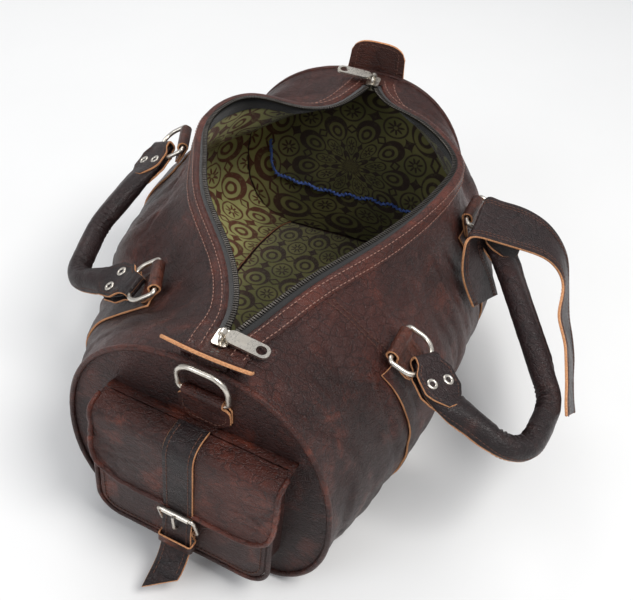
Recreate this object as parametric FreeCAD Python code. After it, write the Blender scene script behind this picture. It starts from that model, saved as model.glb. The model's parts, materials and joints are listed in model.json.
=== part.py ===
"""Leather duffel bag with an open top zip, an end pocket and two rolled handles.

Millimetres. +X points at the pocket end, +Y is the bag's right side, +Z is up, and the
origin is the centre of the base. Soft leather is drawn as thick skins over one body
surface; rings, sliders and the buckle are drawn as the metal they are.
"""
import FreeCAD, Part
import math
import os

V = FreeCAD.Vector

# ---- driving dimensions -------------------------------------------------------------
BASE_Z = 2.2              # underside of the body above the base straps' lower face
LEATHER = 2.0             # body leather
LINING = 0.8
GAP = 0.2                 # air left between layers that are not fused
FRONT_X = 208.7           # pocket end, measured at the base
REAR_X = -207.0
FRONT_YAW = 0.151         # the pocket end runs this far forward per mm to the right
FRONT_LEAN = -0.0486      # and this far back per mm upwards
BLEND_START = 60.0        # the body twists into the pocket end from here on
WIDEST_Z = 80.0           # height at which the body is widest
PIPING_R = 2.4
TAPE_WIDTH = 9.0          # zip tape showing between leather edge and teeth
FACING_WIDTH = 13.0
CHAIN_WIDTH = 3.0
CHAIN_HEIGHT = 2.4
STRAP_WIDTH = 48.0        # base straps that carry the handle rings
RING_HALF = 20.5          # handle ring, centre line of its wire
RING_DEPTH = 26.5
RING_CORNER = 14.0
WIRE_R = 2.0
HANDLE_R = 10.4
CORE_R = 7.4
TAB_WIDTH = 34.0
FRONT_RING_X = 97.0
REAR_RING_X = -82.0
LOOP_CENTRE = 25.0        # handle loop's pivot, out from the ring's bar
POCKET_HALF = 75.0        # end pocket, in the pocket end's own frame
POCKET_MID = 2.0
POCKET_LOW = 24.0
POCKET_HIGH = 140.0
POCKET_BACK = 2.5
POCKET_FRONT = 28.5
FLAP_HALF = 78.0
FLAP_MID = 6.0
FLAP_PIVOT = (12.0, 146.5)    # out and up of the flap's crease
CLOSURE_HALF = 12.5       # half width of the flap's closure strap
CLOSURE_MID = 5.0
ROLLER_AT = (38.0, 74.0)  # buckle's roller, out and up
HINGE_BAR_AT = (31.6, 52.0)   # buckle's rear bar
BUCKLE_HALF = 15.5
BUCKLE_WIRE_R = 1.5
END_RING_AT = (7.6, 178.0)    # end ring's bar, out and up
END_RING_MID = 9.0
END_RING_LEAN = 8.0       # degrees the end ring leans outwards
SLIDER_FRONT_AT = (177.0, 10.4, 203.1)
SLIDER_REAR_AT = (-187.0, 16.6, 214.9)
BAIL_HEIGHT = 7.6         # puller's pivot above the chain
PULLER_LENGTH = 36.0
PULLER_FRONT_SWING = -101.0   # degrees about the zip, from straight up
PULLER_REAR_SWING = -88.0

# Body stations, rear to front, for each side: x, half width of the flat base, widest half
# width, then the zip's teeth line (x, y, z) and the shoulder's fullness (three numbers).
RIGHT = [
    (-207, 62, 121, (-207, 15, 214), (0.60, 0.60, 0.00)),
    (-190, 72, 141, (-186, 17, 215), (0.55, 0.55, 0.03)),
    (-168, 80, 160, (-160, 38, 213), (0.45, 0.45, 0.15)),
    (-143, 86, 171, (-147, 72, 211), (0.40, 0.20, 0.25)),
    (-108, 90, 177, (-108, 112, 209), (0.33, 0.00, 0.33)),
    (-68, 92, 178, (-70, 116, 208), (0.33, 0.00, 0.33)),
    (-18, 92, 175, (-18, 101, 207), (0.38, 0.15, 0.28)),
    (40, 90, 168, (42, 74, 206), (0.45, 0.30, 0.25)),
    (97, 86, 154, (97, 44, 205), (0.50, 0.42, 0.16)),
    (146, 78, 141, (146, 23.5, 204), (0.52, 0.48, 0.10)),
    (180, 70, 127, (178, 11.5, 203), (0.56, 0.55, 0.03)),
    (208.7, 62, 114, (0, 9, 200), (0.60, 0.60, 0.00)),
]
LEFT = [
    (-207, 62, 121, (-207, 15, 214), (0.60, 0.60, 0.00)),
    (-194, 72, 138, (-186, 16, 215), (0.55, 0.55, 0.03)),
    (-180, 77, 152, (-160, 8, 213), (0.50, 0.50, 0.10)),
    (-166, 81, 162, (-134, -8, 211), (0.42, 0.45, 0.20)),
    (-146, 85, 171, (-124, -42, 209), (0.36, 0.30, 0.28)),
    (-120, 88, 177, (-124, -84, 208), (0.33, 0.05, 0.33)),
    (-75, 92, 178, (-76, -104, 208), (0.33, 0.00, 0.33)),
    (-25, 92, 175, (-25, -89, 207), (0.36, 0.15, 0.30)),
    (35, 90, 166, (30, -63, 206), (0.36, 0.30, 0.32)),
    (97, 86, 148, (92, -17, 205), (0.26, 0.36, 0.40)),
    (146, 78, 137, (146, 8, 204), (0.42, 0.45, 0.22)),
    (180, 70, 127, (178, 9.5, 203), (0.54, 0.55, 0.05)),
    (208.7, 62, 114, (0, 9, 200), (0.60, 0.60, 0.00)),
]
# Handle centre lines in the handle's own plane: along the rings' bars (towards the front
# ring is positive) and out from them, with the bend radius at each inner point.
RIGHT_PATH = [(20, 52), (27, 126), (-42, 131), (-152, 44)]
RIGHT_RADII = [28, 36]
LEFT_PATH = [(-21, 52), (-42, 97), (-108, 84), (-168, 38)]
LEFT_RADII = [26, 50]
# The strap draped over the right handle: near and far edge from its short end, up over
# the handle's rear leg and down to the tail.
WRAP_NEAR = [(-14, 167, 123), (-18, 153, 148), (-24, 148, 171), (-31, 152, 184), (-35, 169, 182),
             (-40, 193, 177), (-43, 214, 172), (-37, 229, 166), (-22, 236, 160), (1, 237, 152),
             (24, 247, 143), (57, 256, 132), (82, 262, 124)]
WRAP_FAR = [(-52, 184, 111), (-51, 172, 139), (-50, 158, 170), (-74, 153, 194), (-79, 163, 193),
            (-83, 181, 189), (-82, 205, 182), (-77, 225, 168), (-65, 238, 149), (-35, 248, 124),
            (-10, 257, 114), (26, 264, 104), (54, 270, 101)]
TONGUES = {"right": 26, "left": 19}
SAMPLES = 13              # points up each station, from the base edge to the leather edge


# ---- frames ---------------------------------------------------------------------------
def frame(origin, out, across):
    """Placement whose local X, Y, Z are out, across and up."""
    out = V(out).normalize()
    up = out.cross(V(across)).normalize()
    side = up.cross(out)
    matrix = FreeCAD.Matrix(out.x, side.x, up.x, origin.x, out.y, side.y, up.y, origin.y,
                            out.z, side.z, up.z, origin.z, 0, 0, 0, 1)
    return FreeCAD.Placement(matrix)


def front_plane_x(y, z):
    return FRONT_X + FRONT_YAW * y + FRONT_LEAN * z


FRONT = frame(V(FRONT_X, 0, 0), V(1, -FRONT_YAW, -FRONT_LEAN), V(FRONT_YAW, 1, 0))
REAR = frame(V(REAR_X, 0, 0), V(-1, 0, 0), V(0, -1, 0))


def placed(shape, place):
    shape = shape.copy()
    shape.Placement = place.multiply(shape.Placement)
    return shape


# ---- body surface ---------------------------------------------------------------------
def bezier(points, t):
    a, b, c, d = points
    s = 1 - t
    return a * s ** 3 + b * 3 * s * s * t + c * 3 * s * t * t + d * t ** 3


def station_point(x, y, z):
    """A point of the station x, sheared into the pocket end's plane towards the front."""
    blend = min(1.0, max(0.0, (x - BLEND_START) / (FRONT_X - BLEND_START)))
    return V(x + blend * (FRONT_YAW * y + FRONT_LEAN * z), y, z)


def teeth_line(table):
    """The zip's teeth line, with its front end on the pocket end's plane."""
    line = [V(*row[3]) for row in table]
    line[-1] = V(front_plane_x(line[-1].y, line[-1].z), line[-1].y, line[-1].z)
    return line


def outward(line, index, side):
    """Horizontal direction away from the opening, square to the teeth line."""
    if index in (0, len(line) - 1):
        return V(FRONT_YAW if index else 0, side, 0).normalize() if index else V(0, side, 0)
    along = line[index + 1] - line[index - 1]
    return V(-along.y * side, along.x * side, 0).normalize()


def leather_edges(table, side):
    line = teeth_line(table)
    return [point + outward(line, i, side) * TAPE_WIDTH for i, point in enumerate(line)]


def body_grid(table, side):
    """Rows of points from the base edge up to the leather edge, one row per station."""
    rows = []
    for row, edge in zip(table, leather_edges(table, side)):
        x, base, wide, _, (rise, spread, drop) = row
        foot = station_point(x, side * base, BASE_Z)
        belly = station_point(x, side * wide, WIDEST_Z)
        low_a = station_point(x, side * (base + 0.55 * (wide - base)), BASE_Z)
        low_b = station_point(x, side * wide, WIDEST_Z - 0.6 * (WIDEST_Z - BASE_Z))
        high_a = station_point(x, side * wide, WIDEST_Z + rise * (edge.z - WIDEST_Z))
        level = edge.z - drop * (edge.z - WIDEST_Z)
        across = edge.y + spread * (side * wide - edge.y)
        high_b = V(edge.x + spread * (high_a.x - edge.x), across, level)
        fine = [bezier((foot, low_a, low_b, belly), i / 40) for i in range(40)]
        fine += [bezier((belly, high_a, high_b, edge), i / 60) for i in range(61)]
        rows.append(evenly_spaced(fine, SAMPLES))
    return rows


def evenly_spaced(points, count):
    """The same line as count points at equal distances along it."""
    reach = [0.0]
    for a, b in zip(points, points[1:]):
        reach.append(reach[-1] + (b - a).Length)
    found = []
    k = 0
    for i in range(count):
        target = reach[-1] * i / (count - 1)
        while k < len(points) - 2 and reach[k + 1] < target:
            k += 1
        share = (target - reach[k]) / (reach[k + 1] - reach[k])
        found.append(points[k] + (points[k + 1] - points[k]) * share)
    return found


def surface_of(grid):
    surface = Part.BSplineSurface()
    surface.interpolate(grid)
    return surface


def thick_patch(outer, inner):
    """Solid between two grids of points of the same size."""
    faces = []
    surfaces = [surface_of(outer), surface_of(inner)]
    faces += [s.toShape() for s in surfaces]
    bounds = [s.bounds() for s in surfaces]
    for end in (0, 1):
        edges_u = [s.uIso(b[end]).toShape() for s, b in zip(surfaces, bounds)]
        edges_v = [s.vIso(b[2 + end]).toShape() for s, b in zip(surfaces, bounds)]
        faces.append(Part.makeRuledSurface(*edges_u))
        faces.append(Part.makeRuledSurface(*edges_v))
    shell = Part.Shell(faces)
    shell.sewShape()
    solid = Part.Solid(shell)
    if solid.Volume < 0:
        solid.reverse()
    return solid


class Side:
    """One side of the body: its surface, and pieces cut along it."""

    def __init__(self, table, side):
        self.side = side
        self.table = table
        self.grid = body_grid(table, side)
        self.surface = surface_of(self.grid)
        self.u0, self.u1, self.v0, self.v1 = self.surface.bounds()

    def point(self, u, v):
        return self.surface.value(self.u0 + u * (self.u1 - self.u0),
                                  self.v0 + v * (self.v1 - self.v0))

    def u_at(self, x, v):
        """Surface parameter whose point at height v has this x."""
        low, high = 0.0, 1.0
        for _ in range(40):
            middle = (low + high) / 2
            if self.point(middle, v).x < x:
                low = middle
            else:
                high = middle
        return (low + high) / 2

    def normal(self, u, v):
        """Outward normal; at the two ends it stays inside the end's plane."""
        step = 0.002
        along = self.point(min(u + step, 1), v) - self.point(max(u - step, 0), v)
        if u <= 0:
            along = V(1, 0, 0)
        if u >= 1:
            along = V(1, -FRONT_YAW, -FRONT_LEAN)
        up = self.point(u, min(v + step, 1)) - self.point(u, max(v - step, 0))
        normal = (up.cross(along) * self.side).normalize()
        return V(0, 0, -1) if v <= 0 else normal

    def length(self, u):
        marks = [self.point(u, i / 24) for i in range(25)]
        return sum((b - a).Length for a, b in zip(marks, marks[1:]))

    def patch(self, us, v_rows, outside, inside):
        """Leather between two offsets from the surface; v_rows gives v along each u."""
        outer, inner = [], []
        for u, vs in zip(us, v_rows):
            spots = [(self.point(u, v), self.normal(u, v)) for v in vs]
            outer.append([p + n * outside for p, n in spots])
            inner.append([p + n * inside for p, n in spots])
        return thick_patch(outer, inner)

    def v_at_height(self, x, z):
        low, high = 0.0, 1.0
        for _ in range(40):
            middle = (low + high) / 2
            if self.point(self.u_at(x, middle), middle).z < z:
                low = middle
            else:
                high = middle
        return (low + high) / 2


def spread(low, high, count):
    return [low + (high - low) * i / (count - 1) for i in range(count)]


def side_panel(body):
    us = spread(0, 1, 29)
    panel = body.patch(us, [spread(0, 1, 15)] * len(us), 0.0, -LEATHER)
    for place in (FRONT, REAR):
        panel = panel.cut(placed(box((0.3, -200, -50), (30, 200, 300)), place))
    return panel


def lining_side(body):
    """Cotton lining of one side, just under the leather, ending below the zip tape."""
    us = spread(0.025, 0.985, 31)
    rows = [spread(0.02, 1 - 3.0 / body.length(u), 15) for u in us]
    return body.patch(us, rows, -LEATHER - 3 * GAP, -LEATHER - 3 * GAP - LINING)


def facing(body):
    """Leather binding along the zip, on the outside of the side panel."""
    us = spread(0.03, 0.965, 29)
    rows = []
    for u in us:
        length = body.length(u)
        rows.append(spread(1 - FACING_WIDTH / length, 1 - 0.4 / length, 3))
    return body.patch(us, rows, GAP + 1.2, GAP)


def base_rows(right, left, z):
    """Grid of the flat base between the two sides' feet."""
    rows = []
    for u in spread(0, 1, 13):
        low, high = left.point(u, 0), right.point(u, 0)
        inset = (high - low).normalize()
        row = [low + inset + (high - low - inset * 2) * (k / 4) for k in range(5)]
        rows.append([V(p.x, p.y, z) for p in row])
    return rows


def base_sag():
    """Middle of the base leather, which rests on the floor between the two straps."""
    rims = []
    for z, reach in ((0, 0), (BASE_Z + 0.6, 14)):
        corners = [V(-38 - reach, -62 - reach, z), V(52 + reach, -62 - reach, z),
                   V(52 + reach, 62 + reach, z), V(-38 - reach, 62 + reach, z)]
        rims.append(Part.makePolygon(corners + [corners[0]]))
    return Part.makeLoft(rims, True, True)


def strip_along_lip(body, inner_width, outer_width, top, bottom, first, last):
    """Flat strip beside the teeth line, given as distances outwards from it."""
    line = teeth_line(body.table)
    outer, inner = [], []
    for i in range(first, last):
        away = outward(line, i, body.side)
        cross = [line[i] + away * (inner_width + (outer_width - inner_width) * k / 2)
                 for k in range(3)]
        outer.append([p + V(0, 0, top) for p in cross])
        inner.append([p + V(0, 0, bottom) for p in cross])
    return thick_patch(outer, inner)


def strap_half(body, x, top_v):
    """Section of a base strap at x, from the base centre round the belly to its top."""
    row = [V(x, 0, BASE_Z)]
    for v in spread(0, top_v, 60):
        row.append(body.point(body.u_at(x, v), v))
    return row


def base_strap(right, left, x_centre, top_z):
    """Strap under the bag whose two ends carry a pair of ring chapes."""
    tops = [body.v_at_height(x_centre, top_z) for body in (right, left)]
    outer, inner = [], []
    for x in spread(x_centre - STRAP_WIDTH / 2, x_centre + STRAP_WIDTH / 2, 5):
        halves = [strap_half(body, x, top) for body, top in zip((right, left), tops)]
        whole = evenly_spaced(list(reversed(halves[1])) + halves[0][1:], 53)
        out_row, in_row = [], []
        for j, point in enumerate(whole):
            tangent = whole[min(j + 1, 52)] - whole[max(j - 1, 0)]
            direction = tangent.cross(V(1, 0, 0)).normalize()
            if direction.dot(point - V(x, 0, WIDEST_Z)) < 0:
                direction = direction * -1
            rise = min(1.0, max(0.0, (point.z - BASE_Z - 0.3) / 9))
            direction = (direction * rise + V(0, 0, rise - 1)).normalize()
            out_row.append(point + direction * BASE_Z)
            in_row.append(point + direction * 3 * GAP)
        outer.append(out_row)
        inner.append(in_row)
    return thick_patch(outer, inner)


# ---- end panels -------------------------------------------------------------------------
def outline(right, left, index, place, inset):
    """Closed end outline in the end's own plane, moved inwards by inset."""
    back = place.inverse()
    ring = [p for p in right.grid[index]] + list(reversed(left.grid[index]))
    foot_right, foot_left = right.grid[index][0], left.grid[index][0]
    ring += [foot_left + (foot_right - foot_left) * k / 4 for k in (1, 2, 3)]
    flat = [back.multVec(p) for p in ring]
    flat = [V(0, p.y, p.z) for p in flat]
    centre = V(0, 0, 100)
    moved = []
    for i, point in enumerate(flat):
        tangent = flat[(i + 1) % len(flat)] - flat[i - 1]
        direction = V(0, -tangent.z, tangent.y).normalize()
        if direction.dot(centre - point) < 0:
            direction = direction * -1
        moved.append(point + direction * inset)
    return moved


def closed_wire(points, out):
    curve = Part.BSplineCurve()
    curve.interpolate([V(out, p.y, p.z) for p in points], PeriodicFlag=True)
    return Part.Wire([curve.toShape()])


def plate(points, low, high):
    face = Part.Face(closed_wire(points, low))
    return face.extrude(V(high - low, 0, 0))


def round_bar(points, radius, closed=False):
    """Round bar through points as short straight runs, for piping."""
    circles = []
    count = len(points)
    for i, point in enumerate(points):
        ahead = points[(i + 1) % count] if closed or i + 1 < count else point
        behind = points[i - 1] if closed or i else point
        circle = Part.Circle(point, (ahead - behind).normalize(), radius)
        circles.append(Part.Wire([circle.toShape()]))
    if closed:
        circles.append(circles[0])
    return Part.makeLoft(circles, True, True)


def swept(points, radii, radius, start_trim=0.0):
    """Round bar along straight runs joined by tangent arcs."""
    wire = filleted(points, radii)
    first = wire.OrderedEdges[0]
    tangent = first.tangentAt(first.FirstParameter)
    circle = Part.Circle(first.valueAt(first.FirstParameter), tangent, radius)
    return wire.makePipeShell([Part.Wire([circle.toShape()])], True, True)


def filleted(points, radii):
    edges = []
    start = points[0]
    for before, corner, after, radius in zip(points, points[1:], points[2:], radii):
        into = (corner - before).normalize()
        away = (after - corner).normalize()
        turn = into.getAngle(away)
        reach = radius * math.tan(turn / 2)
        first = corner - into * reach
        last = corner + away * reach
        middle_direction = (away - into).normalize()
        centre = corner + middle_direction * (radius / math.cos(turn / 2))
        middle = centre - middle_direction * radius
        edges.append(Part.LineSegment(start, first).toShape())
        edges.append(Part.Arc(first, middle, last).toShape())
        start = last
    edges.append(Part.LineSegment(start, points[-1]).toShape())
    return Part.Wire(edges)


def box(low, high):
    return Part.makeBox(high[0] - low[0], high[1] - low[1], high[2] - low[2], V(*low))


# ---- handle rings and handles -----------------------------------------------------------
class Handle:
    """One handle's frame: local X runs out and down, Y along the rings' bars."""

    def __init__(self, body, tilt, lift, front_z, rear_z):
        self.body = body
        self.side = body.side
        bars = []
        for x, z in ((FRONT_RING_X, front_z), (REAR_RING_X, rear_z)):
            v = body.v_at_height(x, z)
            u = body.u_at(x, v)
            bars.append(body.point(u, v) + body.normal(u, v) * lift)
        self.bars = bars
        self.along = (bars[0] - bars[1]).normalize()
        self.span = (bars[0] - bars[1]).Length
        out = V(0, self.side * math.cos(tilt), -math.sin(tilt))
        self.out = (out - self.along * out.dot(self.along)).normalize()
        self.place = frame(bars[0], self.out, self.along)

    def at(self, along, out):
        return V(out, along, 0)


def ring(half, depth, corner):
    """D-ring lying in local XY: its bar on Y through the origin, its bow towards +X."""
    pts = [V(0, 0, 0), V(0, half, 0), V(depth, half, 0), V(depth, -half, 0),
           V(0, -half, 0), V(0, 0, 0)]
    wire = filleted(pts, [4.0, corner, corner, 4.0])
    circle = Part.Circle(V(0, 0, 0), V(0, 1, 0), WIRE_R)
    return wire.makePipeShell([Part.Wire([circle.toShape()])], True, True)


def handle_tab(handle, base_along, toward):
    """Flat strap end folded round the ring's bow."""
    start = handle.at(base_along, LOOP_CENTRE)
    run = (handle.at(*toward) - start).normalize()
    flat = box((0, -TAB_WIDTH / 2, -2.6), (40, TAB_WIDTH / 2, 2.6))
    angle = math.degrees(math.atan2(run.y, run.x))
    flat.Placement = FreeCAD.Placement(start, FreeCAD.Rotation(V(0, 0, 1), angle))
    short = box((-60, -60, -10), (4.3, 60, 10))
    short.translate(start)
    flat = flat.cut(short)
    loop = box((-6.6, -10.5, -5.8), (6.6, 10.5, 5.8))
    loop = loop.makeFillet(5.0, [e for e in loop.Edges if abs(e.tangentAt(0).y) > 0.9])
    loop.translate(start)
    hole = box((-4.3, -30, -3.4), (4.3, 30, 3.4))
    hole.translate(start)
    return flat.fuse(loop).cut(hole)


def handle_leather(handle, path, radii):
    """Strap rolled into a tube between its two flat ends."""
    points = [handle.at(*p) for p in path]
    outer = swept(points, radii, HANDLE_R)
    core = swept(points, radii, CORE_R + 0.1)
    front = handle_tab(handle, 0.0, path[0])
    rear = handle_tab(handle, -handle.span, path[-1])
    return outer.cut(core).fuse([front.cut(core), rear.cut(core)]).removeSplitter()


def rivet_pair(handle, base_along, toward):
    start = handle.at(base_along, LOOP_CENTRE)
    run = (handle.at(*toward) - start).normalize()
    square = V(-run.y, run.x, 0)
    found = []
    for offset in (-8, 8):
        centre = start + run * 20 + square * offset
        for face in (1, -1):
            rivet = Part.makeCylinder(4.5, 1.3, centre + V(0, 0, 2.7 * face), V(0, 0, face))
            dimple = Part.makeCylinder(1.7, 1.0, centre + V(0, 0, 3.4 * face), V(0, 0, face))
            found.append(rivet.cut(dimple))
    return found


def chape(body, handle, index, x, tongue):
    """Leather loop round a ring's bar, with a tongue sewn down on the base strap."""
    bar = handle.bars[index]
    along = handle.along
    loop = Part.makeCylinder(4.6, 31, bar - along * 15.5, along)
    v = body.v_at_height(x, bar.z - 4)
    u = body.u_at(x, v)
    outside = body.normal(u, v)
    plane = frame(bar, outside, along * -body.side)
    tongue_box = box((-5.6, -15.5, -tongue), (-3.4, 15.5, 0))
    tongue_box.Placement = plane
    loop = loop.fuse(tongue_box)
    return loop.cut(Part.makeCylinder(WIRE_R + 0.15, 40, bar - along * 20, along))


# ---- zip sliders ------------------------------------------------------------------------
def upright_edges(shape, direction):
    return [e for e in shape.Edges if abs(e.tangentAt(e.FirstParameter).dot(direction)) > 0.99]


def slider_solid():
    """Slider with its length on X, opening side at -X and the chain through Z = 0."""
    pieces = []
    for low, high in ((1.9, 3.2), (-3.2, -1.9)):
        plate_box = box((-8, -6.2, low), (8, 6.2, high))
        pieces.append(plate_box.makeFillet(2.8, upright_edges(plate_box, V(0, 0, 1))))
    pieces.append(Part.makeCylinder(0.9, 6.0, V(-6.9, 0, -3.0)))
    pieces.append(swept([V(-5.6, 0, 2.2), V(-5.6, 0, BAIL_HEIGHT), V(5.6, 0, BAIL_HEIGHT),
                         V(5.6, 0, 2.2)], [2.4, 2.4], 1.2))
    return pieces[0].fuse(pieces[1:])


def puller_solid(length):
    """Pull tab along local +X from its pivot on the bail, which runs along local Y."""
    tab = box((3.0, -6.2, -1.0), (length, 6.2, 1.0))
    tab = tab.makeFillet(5.4, upright_edges(tab, V(0, 0, 1)))
    neck = box((-2.6, -2.2, -1.0), (8.0, 2.2, 1.0))
    hole = Part.makeCylinder(4.0, 4.0, V(length - 6.4, 0, -2))
    bail_gap = Part.makeCylinder(1.35, 10, V(0, -5, 0), V(0, 1, 0))
    knuckle = Part.makeCylinder(2.9, 4.4, V(0, -2.2, 0), V(0, 1, 0))
    return tab.fuse([neck, knuckle]).cut(hole).cut(bail_gap)


def puller_in_slider(swing):
    """Puller hanging from the bail, swung this far down from straight up over the slider."""
    pull = puller_solid(PULLER_LENGTH)
    to_slider = FreeCAD.Rotation(V(0, 0, 1), V(1, 0, 0), V(0, 1, 0), "XYZ")
    pull.Placement = FreeCAD.Placement(V(0, 0, 0), to_slider)
    turned = pull.copy()
    turn = FreeCAD.Placement(V(0, 0, BAIL_HEIGHT), FreeCAD.Rotation(V(1, 0, 0), swing))
    turned.Placement = turn.multiply(pull.Placement)
    return turned


def inset_rows(rows, distance):
    """Pull a base grid in from its edges."""
    found = []
    for row in rows[1:-1]:
        inset = (row[-1] - row[0]).normalize() * distance
        low, high = row[0] + inset, row[-1] - inset
        found.append([low + (high - low) * k / 4 for k in range(5)])
    return found


def along_zip(at, direction, up):
    """Placement whose local X follows the zip at this point and Z stands off it."""
    x_axis = V(direction).normalize()
    y_axis = V(up).cross(x_axis).normalize()
    z_axis = x_axis.cross(y_axis)
    matrix = FreeCAD.Matrix(x_axis.x, y_axis.x, z_axis.x, at[0], x_axis.y, y_axis.y, z_axis.y,
                            at[1], x_axis.z, y_axis.z, z_axis.z, at[2], 0, 0, 0, 1)
    return FreeCAD.Placement(matrix)


# ---- end pocket, in the pocket end's frame: X out, Y across, Z up -------------------------
def mitred(line):
    """Each (out, up) point of a bent line with its outward mitre of unit thickness."""
    found = []
    last = len(line) - 1
    for i, point in enumerate(line):
        here = V(point[0], 0, point[1])
        runs = []
        if i > 0:
            runs.append((here - V(line[i - 1][0], 0, line[i - 1][1])).normalize())
        if i < last:
            runs.append((V(line[i + 1][0], 0, line[i + 1][1]) - here).normalize())
        run = (runs[0] + runs[-1]).normalize()
        found.append((here, V(-run.z, 0, run.x) / run.dot(runs[0])))
    return found


def ribbon(line, thickness, half_width, middle, raised=0.0):
    """Strap bent along a line of (out, up) points and drawn out across; it may be raised
    off that line, to lie over another."""
    spots = mitred(line)
    corners = [here + square * (raised + thickness / 2) for here, square in spots]
    corners += [here + square * (raised - thickness / 2) for here, square in reversed(spots)]
    face = Part.Face(Part.makePolygon(corners + [corners[0]]))
    face.translate(V(0, middle - half_width, 0))
    return face.extrude(V(0, 2 * half_width, 0))


def pocket_body():
    wall = LEATHER
    outer = box((POCKET_BACK, POCKET_MID - POCKET_HALF, POCKET_LOW),
                (POCKET_FRONT, POCKET_MID + POCKET_HALF, POCKET_HIGH))
    inner = box((POCKET_BACK - 1, POCKET_MID - POCKET_HALF + wall, POCKET_LOW + wall),
                (POCKET_FRONT - wall, POCKET_MID + POCKET_HALF - wall, POCKET_HIGH + 40))
    lows = [e for e in upright_edges(outer, V(1, 0, 0)) if e.CenterOfMass.z < POCKET_LOW + 1]
    outer = outer.makeFillet(18, lows)
    lows = [e for e in upright_edges(inner, V(1, 0, 0)) if e.CenterOfMass.z < POCKET_LOW + 5]
    inner = inner.makeFillet(16, lows)
    return outer.cut(inner)


def pocket_piping():
    r, edge = 2.0, POCKET_HALF + 2.15
    out = POCKET_FRONT - 1.5
    low = POCKET_LOW - 2.15
    pts = [V(out, POCKET_MID + edge, POCKET_HIGH), V(out, POCKET_MID + edge, low),
           V(out, POCKET_MID - edge, low), V(out, POCKET_MID - edge, POCKET_HIGH)]
    return swept(pts, [20.15, 20.15], r)


def flap_line(low):
    """The flap's bent line from its crease over the pocket and down its front."""
    x, z = FLAP_PIVOT
    return [(x + 0.4, z), (24, z - 0.6), (30, z - 4), (32.2, z - 11), (32.2, low)]


def pocket_flap():
    flap = ribbon(flap_line(76), LEATHER, FLAP_HALF, FLAP_MID)
    corners = [e for e in upright_edges(flap, V(1, 0, 0)) if e.CenterOfMass.z < 80]
    return flap.makeFillet(28, corners)


def closure_strap():
    return ribbon(flap_line(79), LEATHER, CLOSURE_HALF, CLOSURE_MID, LEATHER + GAP)


def closure_tail():
    line = [(34.4, 78.8), (34.4, 74), (36.8, 56), (37.2, 40), (41, 28), (52, 18), (62, 13)]
    tail = ribbon(line, LEATHER, CLOSURE_HALF, CLOSURE_MID)
    slot = box((32, CLOSURE_MID - 2.4, 52), (42, CLOSURE_MID + 2.4, 62))
    return tail.cut(slot)


def buckle_frame():
    """Rectangular wire frame from the rear bar up to the bar under the roller."""
    low, high = V(HINGE_BAR_AT[0], 0, HINGE_BAR_AT[1]), V(ROLLER_AT[0], 0, ROLLER_AT[1])
    side = V(0, BUCKLE_HALF, 0)
    middle = V(0, CLOSURE_MID, 0)
    pts = [low + middle, low + side + middle, high + side + middle, high - side + middle,
           low - side + middle, low + middle]
    wire = filleted(pts, [3.0, 3.0, 3.0, 3.0])
    circle = Part.Circle(low + middle, V(0, 1, 0), BUCKLE_WIRE_R)
    return wire.makePipeShell([Part.Wire([circle.toShape()])], True, True)


def buckle_roller():
    start = V(ROLLER_AT[0], CLOSURE_MID - 11.5, ROLLER_AT[1])
    tube = Part.makeCylinder(2.4, 23, start, V(0, 1, 0))
    return tube.cut(Part.makeCylinder(BUCKLE_WIRE_R + 0.1, 23, start, V(0, 1, 0)))


def buckle_prong():
    """Prong hooked on the rear bar, up through the strap and out over the roller."""
    x, z = HINGE_BAR_AT
    line = [V(x + 2.2, CLOSURE_MID, z + 1.6), V(40.2, CLOSURE_MID, 59.5),
            V(42.3, CLOSURE_MID, 76.5)]
    arm = swept(line, [8.0], 1.2)
    start = V(x, CLOSURE_MID - 1.6, z)
    knuckle = Part.makeCylinder(2.8, 3.2, start, V(0, 1, 0))
    bore = Part.makeCylinder(BUCKLE_WIRE_R + 0.15, 3.2, start, V(0, 1, 0))
    return arm.fuse(knuckle).cut(bore)


def buckle_chape():
    """Leather folded round the rear bar either side of the prong, sewn to the pocket."""
    x, z = HINGE_BAR_AT
    start = V(x, CLOSURE_MID - 12, z)
    loop = Part.makeCylinder(2.8, 24, start, V(0, 1, 0))
    tongue = box((POCKET_FRONT + GAP, CLOSURE_MID - 12, 27), (POCKET_FRONT + 2.4,
                                                             CLOSURE_MID + 12, z))
    loop = loop.fuse(tongue)
    loop = loop.cut(Part.makeCylinder(BUCKLE_WIRE_R + 0.1, 24, start, V(0, 1, 0)))
    return loop.cut(box((x - 4, CLOSURE_MID - 2.2, z - 5), (x + 9, CLOSURE_MID + 2.2, z + 5)))


def strap_keeper():
    outer = box((31.2, CLOSURE_MID - 16, 37), (41.8, CLOSURE_MID + 16, 44))
    return outer.cut(box((33.2, CLOSURE_MID - 13.4, 36), (39.8, CLOSURE_MID + 13.4, 45)))


def end_ring_chape():
    """Pentagon tongue and the loop that holds the end ring's bar."""
    x, z = END_RING_AT
    mid = END_RING_MID
    outline_points = [V(POCKET_BACK, mid - 21, z), V(POCKET_BACK, mid - 22, 158),
                      V(POCKET_BACK, mid - 12, 149.5), V(POCKET_BACK, mid + 12, 149.5),
                      V(POCKET_BACK, mid + 22, 158), V(POCKET_BACK, mid + 21, z)]
    face = Part.Face(Part.makePolygon(outline_points + [outline_points[0]]))
    tongue = face.extrude(V(4.4, 0, 0))
    loop = Part.makeCylinder(4.8, 34, V(x, mid - 17, z), V(0, 1, 0))
    bore = Part.makeCylinder(WIRE_R + 0.15, 44, V(x, mid - 22, z), V(0, 1, 0))
    ends = [box((x - 3.4, mid - 25, z - 4), (x + 8, mid - 17, z + 8)),
            box((x - 3.4, mid + 17, z - 4), (x + 8, mid + 25, z + 8))]
    return tongue.fuse(loop).cut(bore).cut(ends[0]).cut(ends[1])


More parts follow.
